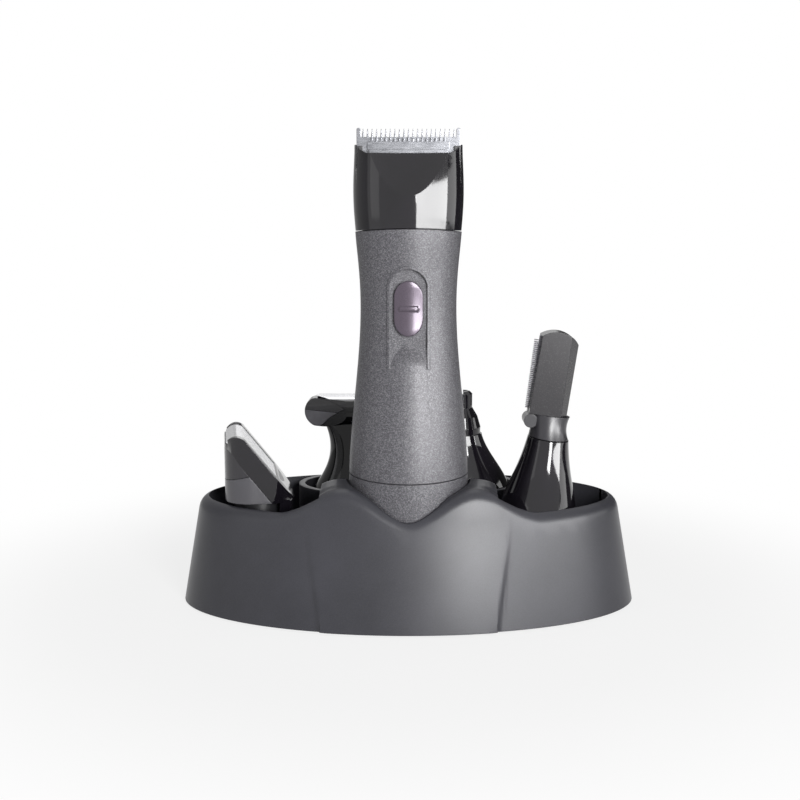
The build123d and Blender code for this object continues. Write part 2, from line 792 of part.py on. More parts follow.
foil_bottom_step = 0.3      # the slanted face starts this far above the skirt's lower edge
foil_height = 22.7          # from the skirt's lower edge to the apex
foil_seam_back, foil_seam_front = 6.2, 9.6  # the seam above the skirt climbs towards the slanted face
foil_half_depth = 11.8
foil_width = 34.0
foil_corner = 9.0
foil_apex_radius = 4.1
foil_rail = 6.6             # thickness of the slanted frame
foil_sheet_thickness = 0.3
foil_sink = 0.5             # the foil lies this deep between the frame's raised ends
foil_half_window = 12.2     # between the raised ends
foil_window_low, foil_window_high = 3.0, -10.5      # along the slope from its middle
foil_cutter_half = 9.4
foil_cutter_depth = 4.0
foil_skid_drop = 3.6        # the frame's ends reach this far below the skirt
foil_socket_wall = 1.6      # of the skirt, round its spigot

apex_x = foil_apex_radius - foil_half_depth
apex_z = foil_height - foil_apex_radius
slope_run = foil_half_depth - apex_x
slope_fall = apex_z - foil_bottom_step
slope_angle = math.atan2(slope_fall, slope_run) + math.asin(foil_apex_radius / math.hypot(slope_run, slope_fall))
slope_down = (math.cos(slope_angle), -math.sin(slope_angle))
slope_out = (math.sin(slope_angle), math.cos(slope_angle))
slope_length = math.sqrt(slope_run ** 2 + slope_fall ** 2 - foil_apex_radius ** 2)


def slant_box(s0, s1, half, n0, n1):
    """Box along the slanted face: s runs down it from its middle, n stands out of it."""
    mid = [foil_half_depth - slope_down[0] * slope_length / 2, foil_bottom_step - slope_down[1] * slope_length / 2]
    plane = Plane(
        origin=(mid[0], 0, mid[1]), x_dir=(slope_down[0], 0, slope_down[1]), z_dir=(slope_out[0], 0, slope_out[1])
    )
    return plane * Pos((s0 + s1) / 2, 0, (n0 + n1) / 2) * Box(s1 - s0, 2 * half, n1 - n0)


def wedge(grow=0.0):
    """Foil head's side view, drawn as (x, z): upright back, rounded apex, slanted front."""
    apex = Pos(apex_x, apex_z) * Circle(foil_apex_radius + grow)
    half = foil_half_depth + grow
    step = foil_bottom_step + grow * (1 - slope_out[0]) / slope_out[1]
    foot = Polyline((-half, 0), (half, 0), (half, step))
    return make_hull([*apex.edges(), *foot.edges()])


def foil_form(grow=0.0):
    """The whole foil head: the side view stretched along Y, with rounded corners in plan."""
    plan = RectangleRounded(2 * foil_half_depth + 2 * grow, foil_width + 2 * grow, foil_corner + grow)
    return front_slab(wedge(grow), foil_width) & prism(plan, -1, foil_height + 2)


def foil_band():
    """Layer under the slanted face and the apex that the frame takes."""
    inner = Pos(-foil_rail * slope_out[0], 0, -foil_rail * slope_out[1]) * front_slab(wedge(), foil_width + 5)
    wall = Ellipse(spigot_depth / 2 + foil_socket_wall, spigot_width / 2 + foil_socket_wall)
    return foil_form() - inner - prism(wall, -1, spigot_height + skirt_ceiling)


def foil_room():
    """Room for the cutter and its driver, with the stroke at both ends."""
    slack = 0.3
    room = slant_box(
        foil_window_high, foil_window_low, foil_cutter_half + cam_throw + slack, -foil_cutter_depth - 1.2, 1
    )
    half_x = pin_radius + cam_throw + drive_play + yoke_wall + slack
    half_y = pin_radius + drive_play / 2 + yoke_wall + cam_throw + slack
    return room + block(-half_x, half_x, -half_y, half_y, spigot_height + skirt_ceiling, foil_seam_front + 5)


def foil_bed():
    """Region between the frame's raised ends that the foil spans, over the apex and down the slope."""
    return slant_box(-slope_length / 2 - 6, foil_window_low + 0.6, foil_half_window, -6, 4)


def foil_upper():
    """Everything above the climbing seam between the skirt and the body."""
    low = [(-foil_half_depth - 5, foil_seam_back), (foil_half_depth, foil_seam_front + 3.6)]
    high = [(foil_half_depth, foil_height + 9), (-foil_half_depth - 5, foil_height + 9)]
    return front_slab(make_face(Polyline(*low, *high, close=True)), foil_width)


def foil_skirt():
    """Lower part of the foil head, open below for the spigot."""
    body = foil_form() - foil_upper() - foil_band()
    return body - turned("foil", skirt_socket()) - foil_room()


def foil_body():
    """Upper back of the foil head."""
    body = foil_form() & (Pos(0, 0, 0.15) * foil_upper())
    return body - foil_band() - turned("foil", skirt_socket()) - foil_room()


def foil_frame():
    """Slanted frame with raised ends and a skid below each end."""
    sunk = (foil_form() - foil_form(-foil_sink)) & foil_bed()
    toe = foil_half_depth - 1.2
    skid = Polyline(
        (toe - 4.2, 1.0), (toe, 1.0), (toe - 0.9, -foil_skid_drop), (toe - 4.4, -foil_skid_drop), close=True
    )
    ends = block(-40, 40, -foil_width / 2 + 1.4, -foil_half_window - 0.4, -9, 9)
    ends += block(-40, 40, foil_half_window + 0.4, foil_width / 2 - 1.4, -9, 9)
    rails = front_slab(make_face(skid), foil_width / 2) & ends
    return foil_band() - foil_room() - sunk + rails


def foil_sheet():
    """Thin perforated foil over the apex and down the slanted face."""
    cover = foil_form(foil_sheet_thickness - foil_sink) - foil_form(-foil_sink)
    return cover & foil_bed()


def foil_cutter():
    """Block of thin blades that runs behind the foil."""
    span = 2 * foil_cutter_half
    top = -foil_sink - 0.3
    body = slant_box(foil_window_high + 0.5, foil_window_low - 0.5, foil_cutter_half, -foil_cutter_depth - 0.6, top)
    count = 9
    for i in range(count):
        y = (i - (count - 1) / 2) * span / count
        body -= Pos(0, y, 0) * slant_box(foil_window_high, foil_window_low, span / count * 0.3, top - 1.8, 1)
    return body


def foil_driver():
    """Yoke under the cutter."""
    reach = pin_radius + cam_throw + drive_play + yoke_wall
    low = spigot_height + skirt_ceiling + 0.3
    body = Rot(0, 0, 90) * yoke(pin_radius + drive_play / 2, low, foil_seam_front + 4.5, -reach, reach)
    under = foil_cutter_depth + 0.6
    limit = Pos(-under * slope_out[0], 0, -under * slope_out[1]) * front_slab(wedge(), foil_width)
    return body & limit


# ---------------------------------------------------------------- wide head

wide_foil_y, wide_foil_top = 2.2, 42.5
wide_neck_z, wide_neck_width, wide_neck_depth = 21.5, 18.6, 14.5
wide_flare_width, wide_flare_depth = 23.0, 7.8     # where the neck meets the bar
wide_bar_length, wide_bar_depth, wide_bar_y = 37.0, 13.5, 1.0
wide_bar_low, wide_bar_high = wide_foil_top - 11.5, wide_foil_top - 1.3
wide_bar_round, wide_top_round = 4.9, 1.2
wide_frame_z = wide_foil_top - 3.9   # the bar is split here into housing and frame
wide_leaf_angle = 28.0      # degrees that the end facets turn towards the front
wide_leaf_y = 2.5           # outer end of a facet
wide_leaf_length, wide_leaf_half = 16.7, 4.9
wide_leaf_thickness, wide_leaf_sunk = 1.0, 0.8
wide_foil_half, wide_foil_radius, wide_foil_thickness = 14.0, 7.4, 0.3
wide_foil_inset = 0.5       # from the end facets
wide_cutter_half = 6.6
wide_room_front, wide_room_back = -1.4, 5.8
wide_cutter_play = 0.3
wide_stem = 1.5             # half width of the driver's stem


def wide_bar():
    """Rounded bar along X, its two front corners cut off for the end facets."""
    height = wide_bar_high - wide_bar_low
    middle = (wide_bar_low + wide_bar_high) / 2
    profile = Pos(wide_bar_y, middle) * RectangleRounded(wide_bar_depth, height, wide_bar_round)
    profile += Pos(wide_bar_y, middle + height / 4) * RectangleRounded(wide_bar_depth, height / 2, wide_top_round)
    front = Pos(0, middle) * RectangleRounded(wide_bar_length, height + seam_gap, wide_bar_round)
    bar = side_slab(profile, wide_bar_length / 2) & front_slab(front, 20)
    return bar - wide_corner(1) - wide_corner(-1) - wide_end_trims()


def wide_facet(side):
    """Where an end facet's outer end lies; its own -Y is the way it faces."""
    place = Pos(side * wide_bar_length / 2, wide_leaf_y, (wide_bar_low + wide_bar_high) / 2)
    return place * Rot(0, 0, side * wide_leaf_angle)


def wide_corner(side, inset=0.0):
    """Half space in front of one end facet."""
    return wide_facet(side) * Pos(0, inset - 15, 0) * Box(60, 30, 40)


def wide_leaf(side):
    """Leaf-shaped facet plate: round at the bar's end, pointed towards its middle."""
    half = wide_leaf_half
    tip = (wide_leaf_length, 0.37 * half)
    edge = [
        Spline((half, half), (1.6 * half, 0.96 * half), (2.55 * half, 0.76 * half), tip),
        Spline(tip, (2.05 * half, -0.42 * half), (half, -half), tangents=[(-1, -0.56), (-1, 0)]),
        ThreePointArc((half, -half), (0, 0), (half, half)),
    ]
    leaf = make_face(edge)
    outline = leaf if side < 0 else mirror(leaf, Plane.YZ)
    plate = extrude(Plane.XZ * outline, amount=wide_leaf_thickness)
    return wide_facet(side) * Pos(0, wide_leaf_sunk, 0) * plate


def wide_round(drop, half):
    """Bar along X with a round top, this far below the foil's outside."""
    return bar_x(wide_foil_radius - drop, -half, half, wide_foil_y, wide_foil_top - wide_foil_radius)


def wide_room():
    """Channel for the driver and room for the cutter."""
    half_x = pin_radius + drive_play / 2 + yoke_wall + cam_throw + wide_cutter_play
    half_y = pin_radius + cam_throw + drive_play + yoke_wall + wide_cutter_play
    low = spigot_height + skirt_ceiling
    stem_x = wide_stem + cam_throw + wide_cutter_play
    stem_y = wide_stem + wide_cutter_play
    reach = wide_cutter_half + cam_throw + wide_cutter_play
    floor = wide_frame_z - 2 * wide_cutter_play
    room = block(-half_x, half_x, -half_y, half_y, low, wide_neck_z - 4)
    room += block(-stem_x, stem_x, -stem_y, stem_y, low, wide_frame_z)
    return room + block(-reach, reach, wide_room_front, wide_room_back, floor, wide_foil_top)


def wide_housing():
    """Oval skirt that narrows to a neck and carries the cross bar."""
    neck = skirt_loft([
        (-0.5, top_width, skirt_depth), (7, 32.0, 24.6), (14, 23.6, 19.0),
        (wide_neck_z, wide_neck_width, wide_neck_depth), (wide_bar_low + 2, wide_flare_width, wide_flare_depth),
    ])
    housing = arched(neck) + (wide_bar() & between(0, wide_frame_z))
    return housing - skirt_socket() - wide_room() - wide_end_trims()


def wide_end_trims():
    """The two leaf-shaped end facets."""
    return join(wide_leaf(side) for side in (-1, 1))


def wide_frame():
    """Upper part of the bar with the window for the foil."""
    return (wide_bar() & between(wide_frame_z, wide_bar_high + 1)) - wide_room()


def wide_foil():
    """Arched foil over the cutter, its front corners cut off along the facets."""
    arch = wide_round(0, wide_foil_half) - wide_round(wide_foil_thickness, wide_foil_half + 1)
    arch -= wide_corner(1, wide_foil_inset) + wide_corner(-1, wide_foil_inset)
    return arch & between(wide_bar_high, wide_foil_top + 1)


def wide_cutter():
    """Round-topped block of thin blades behind the foil."""
    body = wide_round(wide_foil_thickness + wide_cutter_play, wide_cutter_half)
    front, back = wide_room_front + wide_cutter_play, wide_room_back - wide_cutter_play
    body &= block(-50, 50, front, back, wide_frame_z - wide_cutter_play, 60)
    count = 9
    pitch = 2 * wide_cutter_half / count
    for i in range(count):
        x = (i - (count - 1) / 2) * pitch
        body -= block(x - pitch * 0.3, x + pitch * 0.3, -9, 9, wide_bar_high - 0.6, 60)
    return body


def wide_driver():
    """Yoke and stem under the cutter."""
    reach = pin_radius + cam_throw + drive_play + yoke_wall
    low = spigot_height + skirt_ceiling + 0.3
    high = wide_neck_z - 4.4
    body = yoke(pin_radius + drive_play / 2, low, high, -reach, reach)
    top = wide_frame_z - wide_cutter_play
    return body + block(-wide_stem, wide_stem, -wide_stem, wide_stem, high - 1, top)


# ---------------------------------------------------------------- nose head

nose_neck_z, nose_neck_radius = 28.5, 7.3
nose_ring_height = 2.3
nose_top = 44.0
nose_tip_radius, nose_bore = 3.8, 2.7
nose_slot_width, nose_slot_depth = 1.0, 5.0
spindle_radius = 1.0


def nose_cone():
    """Skirt that narrows to the neck, with the bore for the spindle."""
    cone = skirt_loft([
        (-0.5, top_width, skirt_depth), (10.9, 33.6, 25.2), (20, 22.6, 18.6),
        (nose_neck_z, 2 * nose_neck_radius, 2 * nose_neck_radius),
    ])
    cone = arched(cone) - skirt_socket()
    room = rod(cam_radius + 1.0, spigot_height + skirt_ceiling, 15.5)
    return cone - room - rod(spindle_radius + shaft_fit, 0, nose_neck_z + 5)


def nose_front_shell():
    """Front half of the skirt."""
    return nose_cone() & block(-60, 60, -60, 0, -5, 60)


def nose_rear_shell():
    """Back half of the skirt."""
    return nose_cone() & block(-60, 60, 0, 60, -5, 60)


def nose_ring():
    """Bright ring between the skirt and the guard."""
    ring = rod(nose_neck_radius - 0.5, nose_neck_z, nose_neck_z + nose_ring_height)
    return ring - rod(spindle_radius + shaft_fit, 0, 60)


def nose_guard():
    """Tapered tube with slots round its tip."""
    low = nose_neck_z + nose_ring_height
    outside = Polyline(
        (0, low), (nose_neck_radius - 0.4, low), (nose_neck_radius - 1.6, low + 4), (nose_tip_radius, nose_top - 6),
        (nose_tip_radius, nose_top - 1), (nose_tip_radius - 1, nose_top), (0, nose_top), close=True,
    )
    guard = revolve(Plane.XZ * make_face(outside), Axis.Z)
    guard -= rod(nose_bore, low + 2, nose_top - 0.9)
    guard -= rod(spindle_radius + shaft_fit, low - 1, low + 3)
    guard -= rod(nose_tip_radius - 2.2, nose_top - 2, nose_top + 1)
    for i in range(3):
        cut = block(-10, 10, -nose_slot_width / 2, nose_slot_width / 2, nose_top - nose_slot_depth, nose_top + 1)
        guard -= Rot(0, 0, 60 * i + 30) * (cut - rod(0.9, 0, 60))
    return guard


def nose_cutter():
    """Turning blade with two wings inside the guard."""
    low = nose_neck_z + nose_ring_height + 2.4
    wing = nose_bore - 0.3
    return block(-wing, wing, -0.5, 0.5, low, nose_top - 1.3) + rod(spindle_radius, low, nose_top - 2.0)


def nose_spindle():
    """Shaft under the turning blade, with a slotted dog for the motor's pin."""
    low = spigot_height + skirt_ceiling + 0.4
    dog = rod(cam_radius, low, 15.0) - block(0.2, 9, -pin_radius - 0.1, pin_radius + 0.1, low - 1, 13.5)
    return dog + rod(spindle_radius, 15.0, nose_neck_z + nose_ring_height + 2.4)


# ---------------------------------------------------------------- detail head

detail_seam = 31.3          # top of the skirt
detail_shelf = 39.5         # top of the collar, foot of the tower
detail_neck_x, detail_neck_y = 14.2, 15.6
tower_half_depth = 4.5
tower_left, tower_edge, tower_right = -7.2, 2.8, 6.0
tower_left_low = -8.2       # left side at the tower's foot
tower_top_left, tower_peak, tower_top_right = 66.6, 68.4, 64.4
detail_blade_low, detail_blade_high = 41.0, 65.6
detail_tooth_pitch, detail_tooth_length = 0.65, 1.6
detail_blade_half = 0.45


def detail_skirt():
    """Conical skirt."""
    cone = skirt_loft([
        (-0.5, top_width, skirt_depth), (9, 33.0, 25.4), (15, 27.0, 22.0),
        (22, 21.0, 17.9), (detail_seam, detail_neck_y, detail_neck_x),
    ])
    cone = turned("detail", arched(cone) - skirt_socket())
    return cone - detail_room()


def detail_room():
    """Room for the yoke and a channel for the push rod."""
    low = spigot_height + skirt_ceiling
    room = block(-5.5, 5.5, -5.0, 5.0, low, 21)
    return room + block(-2.2, 2.2, -1.6, 1.6, low, detail_shelf + 2)


def detail_collar():
    """Waist between the skirt and the tower, with a lobe under the blade."""
    low = detail_seam + seam_gap
    sections = [(low, detail_neck_x - 0.4, detail_neck_y - 0.4), (low + 3, 12.6, 13.2), (detail_shelf, 13.6, 11.4)]
    collar = loft([Pos(-0.4 if z > low else 0, 0, z) * Ellipse(w / 2, d / 2) for z, w, d in sections])
    lobe = Pos(tower_left_low + 1.0, 0, detail_shelf - 2.4) * Rot(90, 0, 0) * Cylinder(2.4, 2 * tower_half_depth - 1)
    plug = prism(Ellipse(detail_neck_x / 2 - 1.6, detail_neck_y / 2 - 1.6), detail_seam, low)
    return collar + lobe + plug - detail_room()


def tower_profile():
    """Front view of the tower, drawn as (x, z), with its rounded top."""
    low = detail_shelf
    sides = Polyline((tower_left, tower_top_left), (tower_left_low, low), (tower_right - 0.8, low), (tower_right, tower_top_right))
    top = ThreePointArc((tower_left, tower_top_left), (-2.4, tower_peak), (tower_right, tower_top_right))
    return make_face([sides, top])


def detail_tower():
    """Upright housing that holds the long blade along its left side."""
    tower = front_slab(tower_profile(), tower_half_depth)
    facet = Polyline(
        (tower_edge, -tower_half_depth - 1), (tower_edge, -tower_half_depth), (tower_right, 0.5),
        (20, 0.5), (20, -tower_half_depth - 1), close=True,
    )
    tower -= prism(make_face(facet), 0, 100)
    slot = block(tower_left_low - 5, -1.4, -1.35, 0.55 + blade_gap, detail_blade_low - 1.5, detail_blade_high + 0.8)
    return tower - slot - block(-2.2, 2.2, -1.6, 1.6, detail_shelf, detail_blade_low + 3)


def detail_comb(tip_x, low, high, teeth_low, teeth_high):
    """Blade outline drawn as (x, z) with teeth along its left side."""
    outline = Pos((tip_x + detail_tooth_length - 1.6) / 2, (low + high) / 2)
    plate = outline * Rectangle(-1.6 - tip_x - detail_tooth_length, high - low)
    count = int((teeth_high - teeth_low) / detail_tooth_pitch)
    length = detail_tooth_length + 0.2
    teeth = [
        Pos(tip_x + length / 2, teeth_low + (i + 0.5) * detail_tooth_pitch) * Rectangle(length, detail_tooth_pitch * 0.5)
        for i in range(count)
    ]
    return plate + teeth


def detail_fixed_blade():
    """Front blade with fine teeth."""
    low, high = detail_blade_low - 1.4, detail_blade_high + 0.7
    outline = detail_comb(tower_left_low - 1.3, low, high, detail_blade_low, detail_blade_high)
    return blade(outline, -1.3, -0.45)


def detail_moving_blade():
    """Blade that runs along the fixed one."""
    low, high = detail_blade_low + cam_throw - 1.0, detail_blade_high - cam_throw + 0.4
    outline = detail_comb(tower_left_low - 0.9, low, high, low + 0.2, high - 0.2)
    return blade(outline, -0.45 + blade_gap, 0.45)


def detail_driver():
    """Yoke and push rod behind the moving blade."""
    low = spigot_height + skirt_ceiling + 1.5
    reach = pin_radius + cam_throw + drive_play
    fork = block(-reach - 1.2, reach + 1.2, -2.4, 2.4, low, 18) - block(-reach, reach, -1.2, 1.2, low - 1, 16)
    arm_z = detail_blade_low + cam_throw - 1.0
    return fork + block(-1.5, 1.5, -0.4, 0.45, 17, arm_z + 1.0) + block(-1.6, -1.5, -0.4, 0.45, arm_z, arm_z + 1.0)


# ---------------------------------------------------------------- nodes

IN_PLACE = (
    stand_shell, stand_base_plate, stand_feet, stand_screws, post_foil, post_wide, post_nose, post_detail,
    battery_cap, cap_contact_plate, battery_spring, battery_cell,
    handle_front_shell, handle_rear_shell, handle_chassis, motor_can, motor_end_cap, contact_strips, head_mount,
    switch_button, switch_wiper, motor_shaft, eccentric_cam,
    trimmer_housing, blade_carrier, fixed_blade, blade_guide, moving_blade, blade_driver,
)
ON_POSTS = {
    "foil": (foil_skirt, foil_body, foil_frame, foil_sheet, foil_cutter, foil_driver),
    "wide": (wide_housing, wide_end_trims, wide_frame, wide_foil, wide_cutter, wide_driver),
    "nose": (nose_front_shell, nose_rear_shell, nose_ring, nose_guard, nose_cutter, nose_spindle),
    "detail": (detail_skirt, detail_collar, detail_tower, detail_fixed_blade, detail_moving_blade, detail_driver),
}


def nodes():
    """Every piece by name, where it lies when the set is put away."""
    pieces = {make.__name__: make() for make in IN_PLACE}
    for name, makers in ON_POSTS.items():
        pieces.update({make.__name__: post_place(name) * make() for make in makers})
    return pieces


if __name__ == "__main__":
    os.makedirs("parts", exist_ok=True)
    for node, piece in nodes().items():
        export_step(piece, f"parts/{node}.step")
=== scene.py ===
import json
import math

import bmesh
import bpy
from mathutils import Matrix, Vector
from mathutils.bvhtree import BVHTree


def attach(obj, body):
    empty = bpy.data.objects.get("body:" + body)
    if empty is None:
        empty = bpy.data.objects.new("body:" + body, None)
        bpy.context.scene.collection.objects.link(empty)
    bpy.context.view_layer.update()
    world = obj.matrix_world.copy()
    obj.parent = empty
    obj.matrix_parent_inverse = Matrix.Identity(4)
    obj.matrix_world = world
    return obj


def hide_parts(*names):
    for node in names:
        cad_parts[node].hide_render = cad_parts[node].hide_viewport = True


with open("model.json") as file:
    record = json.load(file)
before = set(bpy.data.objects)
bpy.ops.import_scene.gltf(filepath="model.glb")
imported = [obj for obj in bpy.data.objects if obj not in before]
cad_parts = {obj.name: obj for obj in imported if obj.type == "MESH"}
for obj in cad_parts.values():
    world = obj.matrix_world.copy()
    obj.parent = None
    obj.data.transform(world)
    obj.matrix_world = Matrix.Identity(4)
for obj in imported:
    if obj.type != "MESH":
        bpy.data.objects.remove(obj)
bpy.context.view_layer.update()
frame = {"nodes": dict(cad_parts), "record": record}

MM = 0.001
EDGE = 0.35     # radius by which moulded edges are broken

SLOT_OF = {part["node"]: part["material_slot"] for part in frame["record"]["subparts"]}
BODY_OF = {node: body for body, nodes in frame["record"]["behaviour"]["bodies"].items() for node in nodes}

# ---------------------------------------------------------------- nodes and materials


def srgb(code):
    """Linear colour from an sRGB hex code."""
    values = [int(code[i:i + 2], 16) / 255 for i in (1, 3, 5)]
    linear = [v / 12.92 if v <= 0.04045 else ((v + 0.055) / 1.055) ** 2.4 for v in values]
    return (*linear, 1.0)


def add(tree, kind, inputs=None, stops=(), **settings):
    """Adds a node. Settings are its own fields. Inputs maps a socket to a value, to an output, or to a
    node, whose first output is meant. Stops are the (position, hex code) pairs of a colour ramp."""
    node = tree.nodes.new(kind)
    for field, value in settings.items():
        setattr(node, field, value)
    for _ in stops[2:]:     # a ramp starts with two
        node.color_ramp.elements.new(0.5)
    for stop, (position, code) in enumerate(stops):
        node.color_ramp.elements[stop].position = position
        node.color_ramp.elements[stop].color = srgb(code)
    for socket, value in (inputs or {}).items():
        if isinstance(value, bpy.types.Node):
            value = value.outputs[0]
        if isinstance(value, bpy.types.NodeSocket):
            tree.links.new(value, node.inputs[socket])
        else:
            node.inputs[socket].default_value = value
    return node


def per_mm(size):
    """Pattern scale on Object coordinates for a feature of this many millimetres."""
    return 1 / MM / size


def emptied(owner):
    """Node tree of a material or a world, with nothing in it."""
    owner.use_nodes = True
    owner.node_tree.nodes.clear()
    return owner.node_tree


def new_surface(name):
    """Empty material, its tree, and the piece's own coordinates."""
    material = bpy.data.materials.new(name)
    tree = emptied(material)
    return material, tree, add(tree, "ShaderNodeTexCoord").outputs["Object"]


def shade(tree, inputs):
    """Ends a material's tree in one Principled shader."""
    shader = add(tree, "ShaderNodeBsdfPrincipled", inputs)
    add(tree, "ShaderNodeOutputMaterial", {"Surface": shader})


def relief(tree, height, depth, strength):
    """Bump of a height field, this many millimetres deep, on a surface whose edges are broken."""
    broken = add(tree, "ShaderNodeBevel", {"Radius": EDGE * MM}, samples=4)
    return add(tree, "ShaderNodeBump", {
        "Height": height, "Distance": depth * MM, "Strength": strength, "Normal": broken,
    })


# ---------------------------------------------------------------- finishes


def spark_textured_abs(name, dark, light, roughness, lump=0.32, depth=0.012, ior=1.53):
    """ABS moulded in a spark-eroded tool: a fine even grain that scatters the highlight. The real grain
    is near 0.1 mm; it is drawn coarser so that it shows."""
    material, tree, place = new_surface(name)
    cloud = add(tree, "ShaderNodeTexNoise", {"Vector": place, "Scale": per_mm(22.0), "Detail": 3.0})
    fine = add(tree, "ShaderNodeTexNoise", {"Vector": place, "Scale": per_mm(lump), "Detail": 3.0})
    blend = add(tree, "ShaderNodeMix", {"Factor": 0.45, "A": cloud, "B": fine}, data_type="FLOAT")
    shade(tree, {
        "IOR": ior,
        "Base Color": add(tree, "ShaderNodeValToRGB", {"Fac": blend}, [(0.32, dark), (0.68, light)]),
        "Roughness": add(tree, "ShaderNodeMapRange", {
            "Value": fine, "To Min": roughness - 0.06, "To Max": roughness + 0.06,
        }),
        "Normal": relief(tree, fine, depth, strength=0.6),
    })
    return material


def gloss_abs(name, dark, light, roughness, ior=1.5):
    """ABS moulded in a polished tool: deep and wet looking, with a faint orange peel and hazing."""
    material, tree, place = new_surface(name)
    cloud = add(tree, "ShaderNodeTexNoise", {"Vector": place, "Scale": per_mm(14.0), "Detail": 2.0})
    haze = add(tree, "ShaderNodeTexNoise", {"Vector": place, "Scale": per_mm(5.0), "Detail": 4.0})
    peel = add(tree, "ShaderNodeTexNoise", {"Vector": place, "Scale": per_mm(3.0), "Detail": 1.0})
    shade(tree, {
        "IOR": ior,
        "Base Color": add(tree, "ShaderNodeValToRGB", {"Fac": cloud}, [(0.3, dark), (0.7, light)]),
        "Roughness": add(tree, "ShaderNodeMapRange", {
            "Value": haze, "To Min": roughness - 0.02, "To Max": roughness + 0.04,
        }),
        "Normal": relief(tree, peel, 0.004, strength=0.35),
    })
    return material


def flake_lacquer(name, dark, base, flake):
    """Gunmetal spray lacquer over ABS: aluminium flakes of about 0.1 mm lie at slightly different angles
    under a thin satin clear coat, so it glitters grain by grain. Drawn as coarse as it needs to show."""
    material, tree, place = new_surface(name)
    flakes = add(tree, "ShaderNodeTexVoronoi", {"Vector": place, "Scale": per_mm(0.22)})
    tilt = add(tree, "ShaderNodeSeparateColor", {"Color": flakes.outputs["Color"]}).outputs
    cloud = add(tree, "ShaderNodeTexNoise", {"Vector": place, "Scale": per_mm(0.4), "Detail": 3.0})
    blend = add(tree, "ShaderNodeMix", {"Factor": 0.45, "A": tilt["Red"], "B": cloud}, data_type="FLOAT")
    shade(tree, {
        "IOR": 1.45, "Coat Weight": 0.05, "Coat Roughness": 0.35,
        "Base Color": add(tree, "ShaderNodeValToRGB", {"Fac": blend}, [
            (0.12, dark), (0.52, base), (0.9, flake),
        ]),
        "Metallic": add(tree, "ShaderNodeMapRange", {"Value": tilt["Green"], "To Min": 0.0, "To Max": 0.14}),
        "Roughness": add(tree, "ShaderNodeMapRange", {"Value": tilt["Blue"], "To Min": 0.36, "To Max": 0.56}),
        "Normal": relief(tree, blend, 0.02, strength=0.55),
    })
    return material


def ground_steel(name, dark, light, line=0.09, stretch=(0.04, 1.0, 1.0), roughness=0.26):
    """Hardened stainless strip, ground and lapped: fine parallel lines that draw the highlight out."""
    material, tree, place = new_surface(name)
    lines = add(tree, "ShaderNodeMapping", {"Vector": place, "Scale": stretch})
    streak = add(tree, "ShaderNodeTexNoise", {"Vector": lines, "Scale": per_mm(line), "Detail": 3.0})
    cloud = add(tree, "ShaderNodeTexNoise", {"Vector": place, "Scale": per_mm(7.0), "Detail": 2.0})
    blend = add(tree, "ShaderNodeMix", {"Factor": 0.6, "A": cloud, "B": streak}, data_type="FLOAT")
    shade(tree, {
        "Metallic": 1.0,
        "Base Color": add(tree, "ShaderNodeValToRGB", {"Fac": blend}, [(0.3, dark), (0.7, light)]),
        "Roughness": add(tree, "ShaderNodeMapRange", {
            "Value": streak, "To Min": roughness - 0.07, "To Max": roughness + 0.09,
        }),
        "Normal": relief(tree, streak, 0.003, strength=0.4),
    })
    return material


def drawn_metal(name, dark, light, roughness, lump=4.0):
    """Drawn or plated metal: smooth with a soft cloudiness and a few tiny dents."""
    material, tree, place = new_surface(name)
    cloud = add(tree, "ShaderNodeTexNoise", {"Vector": place, "Scale": per_mm(lump), "Detail": 4.0})
    dents = add(tree, "ShaderNodeTexNoise", {"Vector": place, "Scale": per_mm(0.9), "Detail": 2.0})
    shade(tree, {
        "Metallic": 1.0,
        "Base Color": add(tree, "ShaderNodeValToRGB", {"Fac": cloud}, [(0.3, dark), (0.7, light)]),
        "Roughness": add(tree, "ShaderNodeMapRange", {
            "Value": cloud, "To Min": roughness - 0.06, "To Max": roughness + 0.08,
        }),
        "Normal": relief(tree, dents, 0.004, strength=0.3),
    })
    return material


def pearl_plastic(name, dark, light):
    """Pearl-pigmented plastic of the switch button: mauve grey, satin, with a fine metallic pigment."""
    material, tree, place = new_surface(name)
    pigment = add(tree, "ShaderNodeTexNoise", {"Vector": place, "Scale": per_mm(0.2), "Detail": 3.0})
    shade(tree, {
        "IOR": 1.5, "Metallic": 0.35, "Coat Weight": 0.3, "Coat Roughness": 0.12,
        "Base Color": add(tree, "ShaderNodeValToRGB", {"Fac": pigment}, [(0.3, dark), (0.7, light)]),
        "Roughness": add(tree, "ShaderNodeMapRange", {"Value": pigment, "To Min": 0.2, "To Max": 0.3}),
        "Normal": relief(tree, pigment, 0.004, strength=0.3),
    })
    return material


def soft_rubber(name, dark, light):
    """Moulded rubber foot: dull, with a dusty bloom and a slightly open surface."""
    material, tree, place = new_surface(name)
    bloom = add(tree, "ShaderNodeTexNoise", {"Vector": place, "Scale": per_mm(2.5), "Detail": 4.0})
    pores = add(tree, "ShaderNodeTexNoise", {"Vector": place, "Scale": per_mm(0.35), "Detail": 3.0})
    shade(tree, {
        "IOR": 1.52, "Sheen Weight": 0.15,
        "Base Color": add(tree, "ShaderNodeValToRGB", {"Fac": bloom}, [(0.3, dark), (0.72, light)]),
        "Roughness": add(tree, "ShaderNodeMapRange", {"Value": pores, "To Min": 0.72, "To Max": 0.9}),
        "Normal": relief(tree, pores, 0.03, strength=0.6),
    })
    return material


